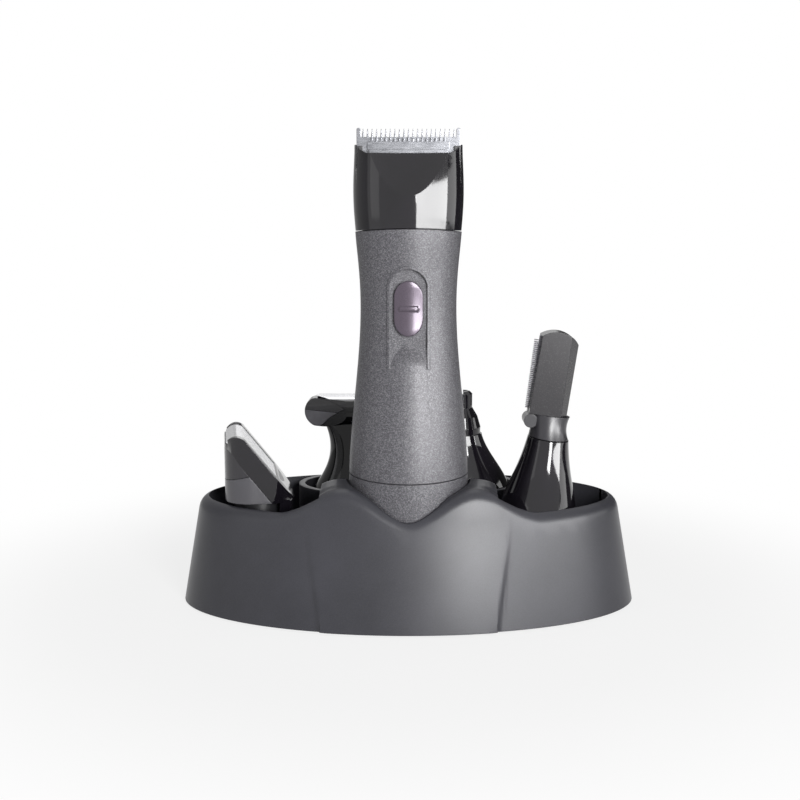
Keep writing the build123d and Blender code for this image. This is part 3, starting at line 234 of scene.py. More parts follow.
def acetal(name, dark, light):
    """Natural acetal drive parts: milky, slightly waxy, with flow marks from the gate."""
    material, tree, place = new_surface(name)
    drawn_out = add(tree, "ShaderNodeMapping", {"Vector": place, "Scale": (1.0, 1.0, 0.3)})
    flow = add(tree, "ShaderNodeTexNoise", {"Vector": drawn_out, "Scale": per_mm(1.6), "Detail": 3.0})
    shade(tree, {
        "IOR": 1.48, "Subsurface Weight": 0.12, "Subsurface Scale": 1.0 * MM,
        "Base Color": add(tree, "ShaderNodeValToRGB", {"Fac": flow}, [(0.3, dark), (0.7, light)]),
        "Roughness": add(tree, "ShaderNodeMapRange", {"Value": flow, "To Min": 0.34, "To Max": 0.46}),
        "Normal": relief(tree, flow, 0.006, strength=0.4),
    })
    return material


def two_tone_leaf(name, black, grey, split):
    """End facet of the wide head: polished black above the split's height, a satin grey below it."""
    material, tree, place = new_surface(name)
    height = add(tree, "ShaderNodeSeparateXYZ", {"Vector": place}).outputs["Z"]
    step = 0.1      # half the height over which one turns into the other
    upper = add(tree, "ShaderNodeMapRange", {
        "Value": height, "From Min": (split - step) * MM, "From Max": (split + step) * MM,
    })
    cloud = add(tree, "ShaderNodeTexNoise", {"Vector": place, "Scale": per_mm(5.0), "Detail": 2.0})
    low, high = (
        add(tree, "ShaderNodeValToRGB", {"Fac": cloud}, [(0.3, dark), (0.7, light)])
        for dark, light in (grey, black)
    )
    # a Mix node's colours are its inputs 6 and 7 and its output 2
    both = add(tree, "ShaderNodeMix", {"Factor": upper, 6: low, 7: high}, data_type="RGBA").outputs[2]
    shade(tree, {
        "IOR": 1.5,
        "Base Color": both,
        "Roughness": add(tree, "ShaderNodeMapRange", {"Value": upper, "To Min": 0.3, "To Max": 0.06}),
        "Normal": relief(tree, upper, 0.1, strength=1.0),
    })
    return material


FINISHES = {
    "stand_plastic": spark_textured_abs(
        "charcoal_abs_spark_textured", "#38383D", "#46464C", roughness=0.34, ior=1.36,
    ),
    "stand_cover": spark_textured_abs(
        "black_abs_coarse_textured", "#1A1A1C", "#26262A", roughness=0.5, lump=0.5, depth=0.02,
    ),
    "foot_rubber": soft_rubber("black_rubber_foot", "#1B1B1B", "#2C2B2A"),
    "screw_steel": drawn_metal("zinc_plated_steel", "#9A9B9F", "#C4C5C9", roughness=0.3),
    "handle_paint": flake_lacquer("gunmetal_flake_lacquer", "#3A393D", "#58575C", "#8F8E93"),
    "cell_wrap": gloss_abs("shrink_sleeve_of_cell", "#22282E", "#313A42", roughness=0.2),
    "contact_brass": drawn_metal("nickel_plated_brass_contact", "#B89A55", "#D8BD7A", roughness=0.28),
    "spring_steel": drawn_metal("nickel_plated_spring_wire", "#A5A6AA", "#CDCED2", roughness=0.2, lump=1.0),
    "inner_plastic": spark_textured_abs(
        "black_glass_filled_nylon", "#17171A", "#232327", roughness=0.4, lump=0.4,
    ),
    "motor_steel": drawn_metal("drawn_motor_can", "#9FA0A4", "#C6C7CB", roughness=0.26),
    "button_plastic": pearl_plastic("mauve_pearl_plastic", "#4B414D", "#605663"),
    "drive_plastic": acetal("natural_acetal", "#D8D5CB", "#ECEAE2"),
    "head_black": gloss_abs("black_violet_gloss_abs", "#131116", "#1B181F", roughness=0.06),
    "head_grey": gloss_abs("graphite_abs_polished", "#2B2A2E", "#353338", roughness=0.16),
    "skirt_grey": spark_textured_abs(
        "grey_abs_satin", "#4C4B50", "#58575C", roughness=0.3, lump=0.3, depth=0.004,
    ),
    "blade_steel": ground_steel("ground_stainless_blade", "#5E5F63", "#8F9094"),
    "foil_steel": ground_steel(
        "electroformed_nickel_foil", "#EDEDF0", "#FCFCFD", line=0.2, stretch=(1.0, 1.0, 1.0), roughness=0.2,
    ),
    "ring_metal": drawn_metal("chrome_plated_ring", "#C8C9CD", "#F0F0F3", roughness=0.1, lump=6.0),
}
# nodes that look unlike the rest of their slot
OF_NODE = {
    "wide_housing": gloss_abs("piano_black_abs", "#08080A", "#0F0E11", roughness=0.05, ior=1.34),
    "wide_end_trims": two_tone_leaf(
        "leaf_black_over_grey", black=("#0E0D10", "#17151A"), grey=("#4A494E", "#5A595E"), split=64.6,
    ),
    "detail_tower": spark_textured_abs(
        "graphite_abs_fine_satin", "#1F1D21", "#2B292D", roughness=0.26, lump=0.3, depth=0.004, ior=1.45,
    ),
    "detail_collar": gloss_abs("graphite_abs_soft_gloss", "#302F33", "#3B3A3F", roughness=0.3),
    "detail_fixed_blade": ground_steel("dark_ground_stainless", "#4C4B50", "#77767B"),
    "nose_ring": FINISHES["head_black"],
    "nose_guard": FINISHES["head_black"],
}


def paint(obj, material):
    """Gives an object one material."""
    if not obj.material_slots:
        obj.data.materials.append(material)
    for slot in obj.material_slots:
        slot.material = material


for node_name, obj in frame["nodes"].items():
    paint(obj, OF_NODE.get(node_name, FINISHES[SLOT_OF[node_name]]))

# ---------------------------------------------------------------- solids from outlines

MERGED_WITHIN = 0.002       # corners closer than this are one
FLAT_WITHIN, EDGE_FROM, SHARP_FROM = math.radians(0.15), math.radians(28), math.radians(30)


def new_object(name, mesh):
    """Links a mesh into the scene as an object at the origin."""
    made = bpy.data.objects.new(name, mesh)
    bpy.context.scene.collection.objects.link(made)
    return made


def lofted(name, rings, tip=None):
    """Closed solid through rings of (x, y, z) points. Its ends are flat, or the last runs to a tip."""
    bm = bmesh.new()
    loops = [[bm.verts.new([c * MM for c in point]) for point in ring] for ring in rings]
    first, last = loops[0], loops[-1]
    if tip is None:
        bm.faces.new(first)
        bm.faces.new(last)
    for low, high in zip(loops, loops[1:]):
        for i, corner in enumerate(low):
            j = (i + 1) % len(low)
            bm.faces.new((corner, low[j], high[j], high[i]))
    if tip is not None:
        middle = bm.verts.new([c * MM for c in tip])
        for i, corner in enumerate(last):
            bm.faces.new((corner, last[(i + 1) % len(last)], middle))
        bm.faces.new(first)
    bmesh.ops.recalc_face_normals(bm, faces=bm.faces)
    mesh = bpy.data.meshes.new(name)
    bm.to_mesh(mesh)
    bm.free()
    return new_object(name, mesh)


def prism(outline, low, high):
    """Solid over an outline of (x, y) points, between two heights."""
    return lofted("prism", [[(x, y, z) for x, y in outline] for z in (low, high)])


def ellipse(a, b, x=0.0, y=0.0, count=96):
    """Outline of an ellipse."""
    turns = [2 * math.pi * i / count for i in range(count)]
    return [(x + a * math.cos(t), y + b * math.sin(t)) for t in turns]


def combine(first, second, operation):
    """Boolean of two solids. The first keeps its name, the second is used up."""
    step = first.modifiers.new("step", "BOOLEAN")
    step.operation = operation
    step.object = second
    step.solver = "EXACT"
    result = bpy.data.meshes.new_from_object(first.evaluated_get(bpy.context.evaluated_depsgraph_get()))
    first.modifiers.remove(step)
    first.data = result
    bpy.data.objects.remove(second)
    return first


def cut(first, *others):
    """The first solid less the others."""
    for other in others:
        first = combine(first, other, "DIFFERENCE")
    return first


def common(first, *others):
    """What all the solids share."""
    for other in others:
        first = combine(first, other, "INTERSECT")
    return first


def round_edges(obj, radius, chosen, segments=3):
    """Rounds the sharp edges that a test on their two ends picks."""
    bm = bmesh.new()
    bm.from_mesh(obj.data)
    bmesh.ops.remove_doubles(bm, verts=bm.verts, dist=MERGED_WITHIN * MM)
    bmesh.ops.dissolve_limit(bm, angle_limit=FLAT_WITHIN, verts=bm.verts, edges=bm.edges)
    sharp = [e for e in bm.edges if e.calc_face_angle(0) > EDGE_FROM]
    bmesh.ops.bevel(
        bm, geom=[e for e in sharp if chosen(e.verts[0].co, e.verts[1].co)], offset=radius * MM,
        segments=segments, profile=0.5, affect="EDGES", clamp_overlap=True,
    )
    bm.to_mesh(obj.data)
    bm.free()
    return obj


def finish_piece(obj, name, body, slot, *nodes):
    """Names a piece, shades it, gives it its finish, hangs it on its body and hides the nodes it stands in for.
    """
    obj.name = name
    for face in obj.data.polygons:
        face.use_smooth = True
    obj.data.set_sharp_from_angle(angle=SHARP_FROM)
    obj.data.materials.clear()
    paint(obj, FINISHES[slot])
    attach(obj, body)
    if nodes:
        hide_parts(*nodes)


# ---------------------------------------------------------------- stand

STAND_A, STAND_B = 79.83, 43.4      # half axes of the wall where it would meet the floor
LEAN = math.tan(math.radians(10.0))
WALL, WALL_LOW = 2.4, 0.7           # thickness, and height of the lower edge
RIM_Z, RIM_RADIUS, RIM_BAND = 38.0, 4.0, 2.7
RIM_TUCK = 0.84                     # share of the rim's radius by which the rim draws in

PANEL_PROUD, PANEL_TOP = 0.9, 35.0  # the low panel on the front: how proud at the floor, where it ends
PANEL_HALF, PANEL_FLARE, PANEL_CREASE = 29.0, 5.0, 0.45
PANEL_HOLLOW = 1.6                  # above 1, the panel falls back slowly at first
FRONT_IN = 0.72                     # the front wall stands back by this, for the panel to stand out from
NO_PANEL = 0.001                    # the least inset: the skin without its panel

HANDLE_Y, SOCKET_A, SOCKET_B = -16.0, 20.95, 19.3
SOCKET_FLOOR, SOCKET_UNDER = 8.0, 5.6
HOOD_CREST_X, HOOD_RUN = 22.65, 20.0
HOOD_FRONT = [
    (0, 37.2), (8, 40.2), (14, 43.9), (HOOD_CREST_X - 3, 46.2), (HOOD_CREST_X, 46.6),
    (27.7, 45.6), (33.0, 42.6), (38.0, 39.9), (44.5, RIM_Z),
]

RIB = 2.2                           # between two pockets, and round the socket
BACK_POST, POCKET_A, POCKET_B = (19.4, 17.0), 18.5, 14.2
POCKET_FLOOR, POCKET_CORNER = 21.0, 1.6
MOUTH_FROM, MOUTH_ROUND = 30.0, 0.45
TOP, PAST = 60.0, 1.0               # above the whole stand; by how much a cutter passes what it cuts
ROUND_WALL, ROUND_SOCKET = 200, 160     # points round the outer wall; round the socket and the hollow
# near and far x, front and back y of the pockets' zones, all but the near x outside the rim
BACK_ZONE, SIDE_ZONE = (RIB / 2, 90.0, -90.0, 90.0), (29.5, 120.0, -50.25, 36.75)


def smooth_through(points, x):
    """Monotone cubic through (x, value) points."""
    if x <= points[0][0]:
        return points[0][1]
    if x >= points[-1][0]:
        return points[-1][1]
    slopes = [(b[1] - a[1]) / (b[0] - a[0]) for a, b in zip(points, points[1:])]
    inner = [0.0 if s0 * s1 <= 0 else 2 * s0 * s1 / (s0 + s1) for s0, s1 in zip(slopes, slopes[1:])]
    tangents = [0.0, *inner, 0.0]
    i = max(k for k, point in enumerate(points) if point[0] < x)
    (x0, y0), (x1, y1) = points[i], points[i + 1]
    h = x1 - x0
    t = (x - x0) / h
    return (
        (2 * t ** 3 - 3 * t ** 2 + 1) * y0 + (t ** 3 - 2 * t ** 2 + t) * h * tangents[i]
        + (3 * t ** 2 - 2 * t ** 3) * y1 + (t ** 3 - t ** 2) * h * tangents[i + 1]
    )


def ease(t):
    """0 to 1 with a level start and end."""
    t = min(max(t, 0.0), 1.0)
    return t * t * (3 - 2 * t)


def roof(x, y):
    """Height of the stand's top before the pockets are cut: level, with the hood round the handle."""
    hump = smooth_through(HOOD_FRONT, abs(x)) - RIM_Z
    return RIM_Z + hump * (1 - ease((y - HANDLE_Y) / HOOD_RUN))


def panel_proud(x, y, z):
    """How far the front panel stands proud: most at the floor, nothing at its top."""
    if y > 0:
        return 0.0
    height = min(max(z / PANEL_TOP, 0.0), 1.0)
    crease_x = PANEL_HALF + PANEL_FLARE * height
    inside = min(max((crease_x - abs(x)) / PANEL_CREASE + 0.5, 0.0), 1.0)
    return PANEL_PROUD * (1 - height ** PANEL_HOLLOW) * inside


def stand_point(t, z, inset):
    """Point of the stand's wall at an angle and a height. At no inset it is on the skin with its panel."""
    a, b = STAND_A - z * LEAN - inset, STAND_B - z * LEAN - inset
    if math.sin(t) < 0:
        b -= FRONT_IN
    x, y = a * math.cos(t), b * math.sin(t)
    proud = panel_proud(x, y, z) if inset == 0.0 else 0.0
    length = math.hypot(math.cos(t) / a, math.sin(t) / b)
    return x + proud * math.cos(t) / a / length, y + proud * math.sin(t) / b / length


def stand_angles():
    """Angles round the stand, close together where the front panel's creases are."""
    fine_steps, fine_step = 6, 0.75
    crease_x, wall_a = 31.5, 76.0       # both at half the panel's height
    front = -math.sqrt(1 - (crease_x / wall_a) ** 2)
    angles = [2 * math.pi * i / ROUND_WALL - math.pi for i in range(ROUND_WALL)]
    for side in (-1, 1):
        for k in range(-fine_steps, fine_steps + 1):
            angles.append(math.atan2(front, side * (crease_x + fine_step * k) / wall_a))
    return sorted(angles)


def stand_solid():
    """Lofted wall, rounded rim and hood in one closed skin."""
    wall_steps, round_steps, roof_steps, settling = 14, 6, 26, 6
    roof_blend = 0.12       # share of the way in over which the rim's round runs out into the roof
    angles = stand_angles()
    tops = []
    for t in angles:
        z = RIM_Z
        for _ in range(settling):
            z = roof(*stand_point(t, z, NO_PANEL))
        tops.append(z)

    rings = []
    for k in range(wall_steps + 1):
        heights = [WALL_LOW + (top - RIM_RADIUS - WALL_LOW) * k / wall_steps for top in tops]
        rings.append([(*stand_point(t, z, 0.0), z) for t, z in zip(angles, heights)])
    for k in range(1, round_steps + 1):
        turn = math.pi / 2 * k / round_steps
        inset = RIM_RADIUS * (1 - math.cos(turn)) * RIM_TUCK + NO_PANEL
        heights = [top - RIM_RADIUS * (1 - math.sin(turn)) for top in tops]
        rings.append([(*stand_point(t, z, inset), z) for t, z in zip(angles, heights)])
    rim = rings[-1]
    for k in range(1, roof_steps):
        share = 1 - k / roof_steps
        blend = ease((1 - share) / roof_blend)
        ring = []
        for x, y, z in rim:
            level = roof(x * share, y * share)
            carried = z + (level - roof(x, y))
            ring.append((x * share, y * share, level * blend + carried * (1 - blend)))
        rings.append(ring)
    return lofted("stand_solid", rings, tip=(0, 0, roof(0, 0)))


def inner_cone(inset, low, high):
    """Solid cone that follows the stand's wall at an inset."""
    turns = [2 * math.pi * i / ROUND_SOCKET for i in range(ROUND_SOCKET)]
    return lofted("cone", [[(*stand_point(t, z, inset), z) for t in turns] for z in (low, high)])


def through(outline, past=PAST):
    """Cutter over an outline that passes the pockets' floor and the stand's top."""
    return prism(outline, POCKET_FLOOR - past, TOP + past)


def zone(side, near, far, front, back):
    """Cutter over a box on one side of the stand."""
    x0, x1 = sorted((side * near, side * far))
    return through([(x0, front), (x1, front), (x1, back), (x0, back)])


def socket_outline(grow):
    """Outline of the handle's socket, larger by a margin."""
    return ellipse(SOCKET_A + grow, SOCKET_B + grow, 0, HANDLE_Y, ROUND_SOCKET)


def within_rim():
    """Everything inside the rim, above the pockets' floor."""
    a, b = STAND_A - RIM_Z * LEAN - RIM_BAND, STAND_B - RIM_Z * LEAN - RIM_BAND
    return prism(ellipse(a, b, count=ROUND_WALL), POCKET_FLOOR, TOP)


def upright(a, b):
    """Whether an edge stands upright."""
    return abs(a.x - b.x) + abs(a.y - b.y) < 0.001 * MM


def back_pocket(side):
    """Pocket of a head behind the handle: an oval round its post, up to the middle rib."""
    x, y = BACK_POST
    oval = prism(ellipse(POCKET_A, POCKET_B, side * x, y), POCKET_FLOOR, TOP)
    pocket = cut(common(oval, within_rim(), zone(side, *BACK_ZONE)), through(socket_outline(RIB)))
    return round_edges(pocket, POCKET_CORNER, upright, segments=5)


def side_pocket(side):
    """Pocket of a head beside the handle, round the oval of the one behind."""
    x, y = BACK_POST
    pocket = common(within_rim(), zone(side, *SIDE_ZONE))
    oval = through(ellipse(POCKET_A + RIB, POCKET_B + RIB, side * x, y), 2 * PAST)
    pocket = cut(pocket, oval, through(socket_outline(RIB), 2 * PAST))
    return round_edges(pocket, POCKET_CORNER, upright, segments=5)


def mouth_edge(a, b):
    """Whether an edge is one of the mouths of the socket and the pockets."""
    return min(a.z, b.z) > MOUTH_FROM * MM


def stand_piece():
    """The stand's moulding: wall, hood, socket, pockets and the hollow underneath."""
    socket = prism(socket_outline(0.0), SOCKET_FLOOR, TOP)
    hollow = cut(inner_cone(WALL, -PAST, POCKET_FLOOR - WALL), prism(socket_outline(RIB), SOCKET_UNDER, TOP))
    pockets = [pocket(side) for pocket in (back_pocket, side_pocket) for side in (-1, 1)]
    shell = round_edges(cut(stand_solid(), socket, *pockets, hollow), MOUTH_ROUND, mouth_edge)
    finish_piece(shell, "stand_moulding", "stand", "stand_plastic", "stand_shell")


stand_piece()

# ---------------------------------------------------------------- foil frame and button with fuller rounds

FOIL_POST, FOIL_TWIST = (-52.3, -4.0, 39.0), math.radians(8.7)      # the head's own origin and turn
SLOPE_X, SLOPE_Z, SLOPE_LEVEL = 0.788, 0.616, 9.49      # its slanted face: the normal and the distance
APEX_X, APEX_Z, APEX_R = -7.7, 18.6, 4.1
RAISED_END, ON_FACE = 12.9, 0.08    # the raised ends start this far from the middle; on it within this
BUTTON_FACE_Y, RIDGE_Z, RIDGE_HALF_TALL, RIDGE_HALF_WIDE = -28.9, 105.7, 1.4, 3.7


def softened(node, name, slot, radius, picked, narrow=1.0):
    """Copy of a node with its edges between picked points rounder, drawn in sideways where asked. It
    takes the node's place."""
    piece = new_object(name, frame["nodes"][node].data.copy())
    for vertex in piece.data.vertices:
        vertex.co.x *= narrow
    round_edges(piece, radius, lambda a, b: picked(a) and picked(b), segments=4)
    finish_piece(piece, name, BODY_OF[node], slot, node)


def on_raised_end(p):
    """Whether a point lies on the slanted face or the apex of the foil frame, on one of its raised ends."""
    dx, dy, z = p.x / MM - FOIL_POST[0], p.y / MM - FOIL_POST[1], p.z / MM - FOIL_POST[2]
    x = dx * math.cos(FOIL_TWIST) + dy * math.sin(FOIL_TWIST)
    y = dy * math.cos(FOIL_TWIST) - dx * math.sin(FOIL_TWIST)
    slope = abs(SLOPE_X * x + SLOPE_Z * z - SLOPE_LEVEL)
    apex = abs(math.hypot(x - APEX_X, z - APEX_Z) - APEX_R)
    return abs(y) > RAISED_END and x > APEX_X and min(slope, apex) < ON_FACE


def on_button_rim(p):
    """Whether a point lies on the rim of the button's face, off its grip ridge."""
    on_ridge = abs(p.z - RIDGE_Z * MM) < RIDGE_HALF_TALL * MM and abs(p.x) < RIDGE_HALF_WIDE * MM
    return p.y < BUTTON_FACE_Y * MM and not on_ridge


softened("foil_frame", "foil_frame_rounded", "head_black", 1.9, on_raised_end)
softened("switch_button", "switch_button_rounded", "button_plastic", 0.5, on_button_rim, narrow=0.87)

# ---------------------------------------------------------------- run-out of the switch track

TRACK_HALF, TRACK_FLOOR_Y, BESIDE_TRACK = 6.1, -27.4, 7.6
FADE_LOW, FADE_FULL, FADE_DEEP, FADE_HIGH = 78.5, 86.0, 96.0, 96.5
TRACK_DEPTH, FILL_PROUD = 2.4, 0.02
LOW_TUCK, LOW_TUCK_RUN = 0.3, 2.0       # the fill's lower end dips under the handle's front
FILL_THIN, FILL_UNDER = 0.2, 0.45       # its surface and its back, behind the track's floor


def track_run_out():
    """Fill of the switch track's lower end, so that the track fades into the handle's front. Each height
    is fitted to the handle's own front and side there."""
    shell = BVHTree.FromObject(frame["nodes"]["handle_front_shell"], bpy.context.evaluated_depsgraph_get())
    columns, rows, outside = 24, 48, 60.0
    rings = []
    for j in range(rows + 1):
        z = FADE_LOW + (FADE_HIGH - FADE_LOW) * j / rows
        side = shell.ray_cast(Vector((outside, HANDLE_Y, z)) * MM, Vector((-1, 0, 0)))[0]
        front = shell.ray_cast(Vector((BESIDE_TRACK, -outside, z)) * MM, Vector((0, 1, 0)))[0]
        half = side.x / MM
        depth = (HANDLE_Y - front.y / MM) / math.sqrt(1 - (BESIDE_TRACK / half) ** 2)
        drop = TRACK_DEPTH * ease((z - FADE_FULL) / (FADE_DEEP - FADE_FULL)) - FILL_PROUD
        drop += LOW_TUCK * (1 - ease((z - FADE_LOW) / LOW_TUCK_RUN))
        skin = []
        for i in range(columns + 1):
            x = TRACK_HALF * (2 * i / columns - 1)
            y = HANDLE_Y - depth * math.sqrt(1 - (x / half) ** 2) + drop
            skin.append((x, min(y, TRACK_FLOOR_Y + FILL_THIN), z))
        rings.append(skin + [(x, TRACK_FLOOR_Y + FILL_UNDER, z) for x, _, z in reversed(skin)])
    finish_piece(lofted("run_out", rings), "track_run_out", "handle", "handle_paint")


track_run_out()

# ---------------------------------------------------------------- what repeats: perforations, screws

PITCH, HOLE, HOLE_THICK, REACH = 0.6, 0.2, 0.03, 30.0       # reach is how far a hole drops to the foil
ROW_SHARE = 0.866       # staggered rows lie this share of the pitch apart
SLANTED_FIELD, SLANTED_MIDDLE, SLANTED_FACING = (19.6, 22.6), (-51.76, -3.92, 53.38), (0.779, 0.119, 0.616)
SLANTED_OFF, SLANTED_SHIFT = 8.0, 2.2       # the field starts this far out, and back along the slope
WIDE_FIELD, WIDE_MIDDLE = (26.4, 7.6), (-19.4, 19.1, 75.0)


def node_tree(name, **inputs):
    """Geometry node tree with one geometry in and out, and named inputs, each of a kind."""
    tree = bpy.data.node_groups.new(name, "GeometryNodeTree")
    for way in ("INPUT", "OUTPUT"):
        tree.interface.new_socket(name="Geometry", in_out=way, socket_type="NodeSocketGeometry")
    for label, kind in inputs.items():
        tree.interface.new_socket(name=label, in_out="INPUT", socket_type="NodeSocket" + kind)
    return tree, add(tree, "NodeGroupInput").outputs


def end_tree(tree, copies, finish):
    """Ends a tree in real geometry with its finish."""
    real = add(tree, "GeometryNodeRealizeInstances", {"Geometry": copies})
    done = add(tree, "GeometryNodeSetMaterial", {"Geometry": real, "Material": finish})
    add(tree, "NodeGroupOutput", {"Geometry": done})
    return tree


def grow(obj, tree, **inputs):
    """Runs a tree on an object and keeps the result as the object's plain mesh."""
    step = obj.modifiers.new("pattern", "NODES")
    step.node_group = tree
    for item in tree.interface.items_tree:
        if item.in_out == "INPUT" and item.name in inputs:
            step[item.identifier] = inputs[item.name]
    mesh = bpy.data.meshes.new_from_object(obj.evaluated_get(bpy.context.evaluated_depsgraph_get()))
    obj.modifiers.remove(step)
    obj.data = mesh


def perforation_tree():
    """Thin dark hexagonal discs in staggered rows, the painted shade of the foil's holes, dropped along a
    direction onto the surface that comes in.
    """
    tree, given = node_tree(
        "perforations", Length="Float", Width="Float", Columns="Int", Rows="Int", Pitch="Float", Hole="Float",
        Thick="Float", Reach="Float", Middle="Vector", Turn="Vector", Aim="Vector", Finish="Material",
    )
    grid = add(tree, "GeometryNodeMeshGrid", {
        "Size X": given["Length"], "Size Y": given["Width"],
        "Vertices X": given["Columns"], "Vertices Y": given["Rows"],
    })
    number = add(tree, "GeometryNodeInputIndex")
    row = add(tree, "ShaderNodeMath", {0: number, 1: given["Rows"]}, operation="MODULO")
    odd = add(tree, "ShaderNodeMath", {0: row, 1: 2.0}, operation="MODULO")
    stagger = add(tree, "ShaderNodeMath", {0: odd, 1: given["Pitch"]}, operation="MULTIPLY")
    half = add(tree, "ShaderNodeMath", {0: stagger, 1: 0.5}, operation="MULTIPLY")
    shift = add(tree, "ShaderNodeCombineXYZ", {"X": half})
    rows = add(tree, "GeometryNodeSetPosition", {"Geometry": grid, "Offset": shift})
    placed = add(tree, "GeometryNodeTransform", {
        "Geometry": rows, "Translation": given["Middle"], "Rotation": given["Turn"],
    })
    hit = add(tree, "GeometryNodeRaycast", {
        "Target Geometry": given["Geometry"], "Ray Direction": given["Aim"], "Ray Length": given["Reach"],
    })
    keep = add(tree, "GeometryNodeCaptureAttribute", {"Geometry": placed})
    for kind, label, source in (
        ("BOOLEAN", "found", "Is Hit"), ("VECTOR", "point", "Hit Position"), ("VECTOR", "facing", "Hit Normal"),
    ):
        keep.capture_items.new(kind, label)
        tree.links.new(hit.outputs[source], keep.inputs[label])
    missed = add(tree, "FunctionNodeBooleanMath", {0: keep.outputs["found"]}, operation="NOT")
    landed = add(tree, "GeometryNodeSetPosition", {"Geometry": keep, "Position": keep.outputs["point"]})
    kept = add(tree, "GeometryNodeDeleteGeometry", {"Geometry": landed, "Selection": missed})
    radius = add(tree, "ShaderNodeMath", {0: given["Hole"], 1: 0.5}, operation="MULTIPLY")
    hole = add(tree, "GeometryNodeMeshCylinder", {"Vertices": 6, "Radius": radius, "Depth": given["Thick"]})
    upright_turn = add(tree, "FunctionNodeAlignRotationToVector", {"Vector": keep.outputs["facing"]}, axis="Z")
    holes = add(tree, "GeometryNodeInstanceOnPoints", {
        "Points": kept, "Instance": hole, "Rotation": upright_turn,
    })
    return end_tree(tree, holes, given["Finish"])


PERFORATIONS = perforation_tree()
# the perforations are thin dark discs lying on the foil, not holes: painted shade of the holes, in a gloss ABS
# finish
HOLE_SHADE = gloss_abs("painted_shade_of_the_perforations", "#3C3C40", "#55555A", roughness=0.5)


def perforate(node, name, field, middle, turn, aim):
    """Perforations of one foil, from a field of holes over its middle, turned and dropped onto it."""
    piece = new_object(name, frame["nodes"][node].data.copy())
    length, width = field
    rows = int(width / (PITCH * ROW_SHARE)) + 1
    columns = int(length / PITCH) + 1
    grow(
        piece, PERFORATIONS, Length=(columns - 1) * PITCH * MM, Width=(rows - 1) * PITCH * ROW_SHARE * MM,
        Columns=columns, Rows=rows, Pitch=PITCH * MM, Hole=HOLE * MM, Thick=HOLE_THICK * MM, Reach=REACH * MM,
        Middle=[c * MM for c in middle], Turn=turn, Aim=aim, Finish=HOLE_SHADE,
    )
    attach(piece, BODY_OF[node])


def foil_perforations():
    """Perforations of the slanted foil and of the wide head's foil."""
    out = Vector(SLANTED_FACING).normalized()
    across = Vector((-math.sin(FOIL_TWIST), math.cos(FOIL_TWIST), 0.0))
    along = across.cross(out)
    turn = Matrix((along, across, out)).transposed().to_euler()
    middle = Vector(SLANTED_MIDDLE) + out * SLANTED_OFF - along * SLANTED_SHIFT
    perforate("foil_sheet", "foil_perforations", SLANTED_FIELD, middle, list(turn), -out)
    perforate("wide_foil", "wide_foil_perforations", WIDE_FIELD, WIDE_MIDDLE, (0, 0, 0), (0, 0, -1))


foil_perforations()

SCREW_PLACES = [(x, y) for x in (-56.0, 56.0) for y in (-17.4, 17.4)]
# radius and height, from the middle of the domed head's face, which is down, to the tip
SCREW_PROFILE = [
    (0.001, 0.6), (1.7, 0.6), (2.35, 0.72), (2.7, 1.0), (2.8, 1.6), (1.45, 1.6), (1.45, 10.2), (0.001, 10.6),
]
CROSS_ARM, CROSS_HALF, CROSS_TOP = 1.55, 0.36, 1.3


def pan_screw():
    """Pan head screw, its head down, with a cross recess."""
    rings = [[(x, y, z) for x, y in ellipse(r, r, count=36)] for r, z in SCREW_PROFILE]
    cross = []
    quarter = [(CROSS_HALF, CROSS_HALF), (CROSS_ARM, CROSS_HALF), (CROSS_ARM, -CROSS_HALF)]
    for _ in range(4):
        cross += quarter
        quarter = [(y, -x) for x, y in quarter]
    return cut(lofted("pan_screw", rings), prism(cross, 0.0, CROSS_TOP))


def scatter_tree():
    """One object on every point that comes in, each turned by chance about the upright."""
    tree, given = node_tree("screws", Screw="Object", Turn="Float", Seed="Int", Finish="Material")
    shape = add(tree, "GeometryNodeObjectInfo", {"Object": given["Screw"]})
    chance = add(tree, "FunctionNodeRandomValue", {
        "Max": given["Turn"], "Seed": given["Seed"],
    }, data_type="FLOAT")
    spin = add(tree, "ShaderNodeCombineXYZ", {"Z": chance.outputs[1]})      # a float comes from output 1
    turn = add(tree, "FunctionNodeEulerToRotation", {"Euler": spin})
    copies = add(tree, "GeometryNodeInstanceOnPoints", {
        "Points": given["Geometry"], "Instance": shape.outputs["Geometry"], "Rotation": turn,
    })
    return end_tree(tree, copies, given["Finish"])


def stand_screws_piece():
    """The bottom cover's four screws."""
    places = bpy.data.meshes.new("places")
    places.from_pydata([(x * MM, y * MM, 0) for x, y in SCREW_PLACES], [], [])
    screws = new_object("stand_screws_crossed", places)
    screw = pan_screw()
    grow(screws, scatter_tree(), Screw=screw, Turn=3.0, Seed=7, Finish=FINISHES["screw_steel"])
    bpy.data.objects.remove(screw)
    finish_piece(screws, "stand_screws_crossed", "stand", "screw_steel", "stand_screws")


stand_screws_piece()

# ---------------------------------------------------------------- studio, its sizes in metres

WHITE = (1, 1, 1, 1)
FLOOR_HALF = 6.0
SHADOW_NEAR, SHADOW_FAR, NEAR_GLOW = 0.09, 0.22, 0.80       # where the floor turns from near glow to white
FRAME, FOCAL, SHIFT = 800.0, 1245.0, -8.5                   # the frame's width and the lens, in its pixels
SENSOR = 36.0                                               # millimetres
CAMERA_PLACE, CAMERA_DOWN = (0.0, -0.430, 0.140), 9.08      # metres, and degrees below level


def seen_share(tree):
    """1 for a camera, glossy or transmission ray, else 0."""
    path = add(tree, "ShaderNodeLightPath")
    seen = path.outputs["Is Camera Ray"]
    for other in ("Is Glossy Ray", "Is Transmission Ray"):
        seen = add(tree, "ShaderNodeMath", {0: seen, 1: path.outputs[other]}, operation="MAXIMUM").outputs[0]
    return seen


def round_place(azimuth, distance, height):
    """Place round the object, in metres; azimuth 0 is in front and grows to the right."""
    angle = math.radians(azimuth)
    return math.sin(angle) * distance, -math.cos(angle) * distance, height


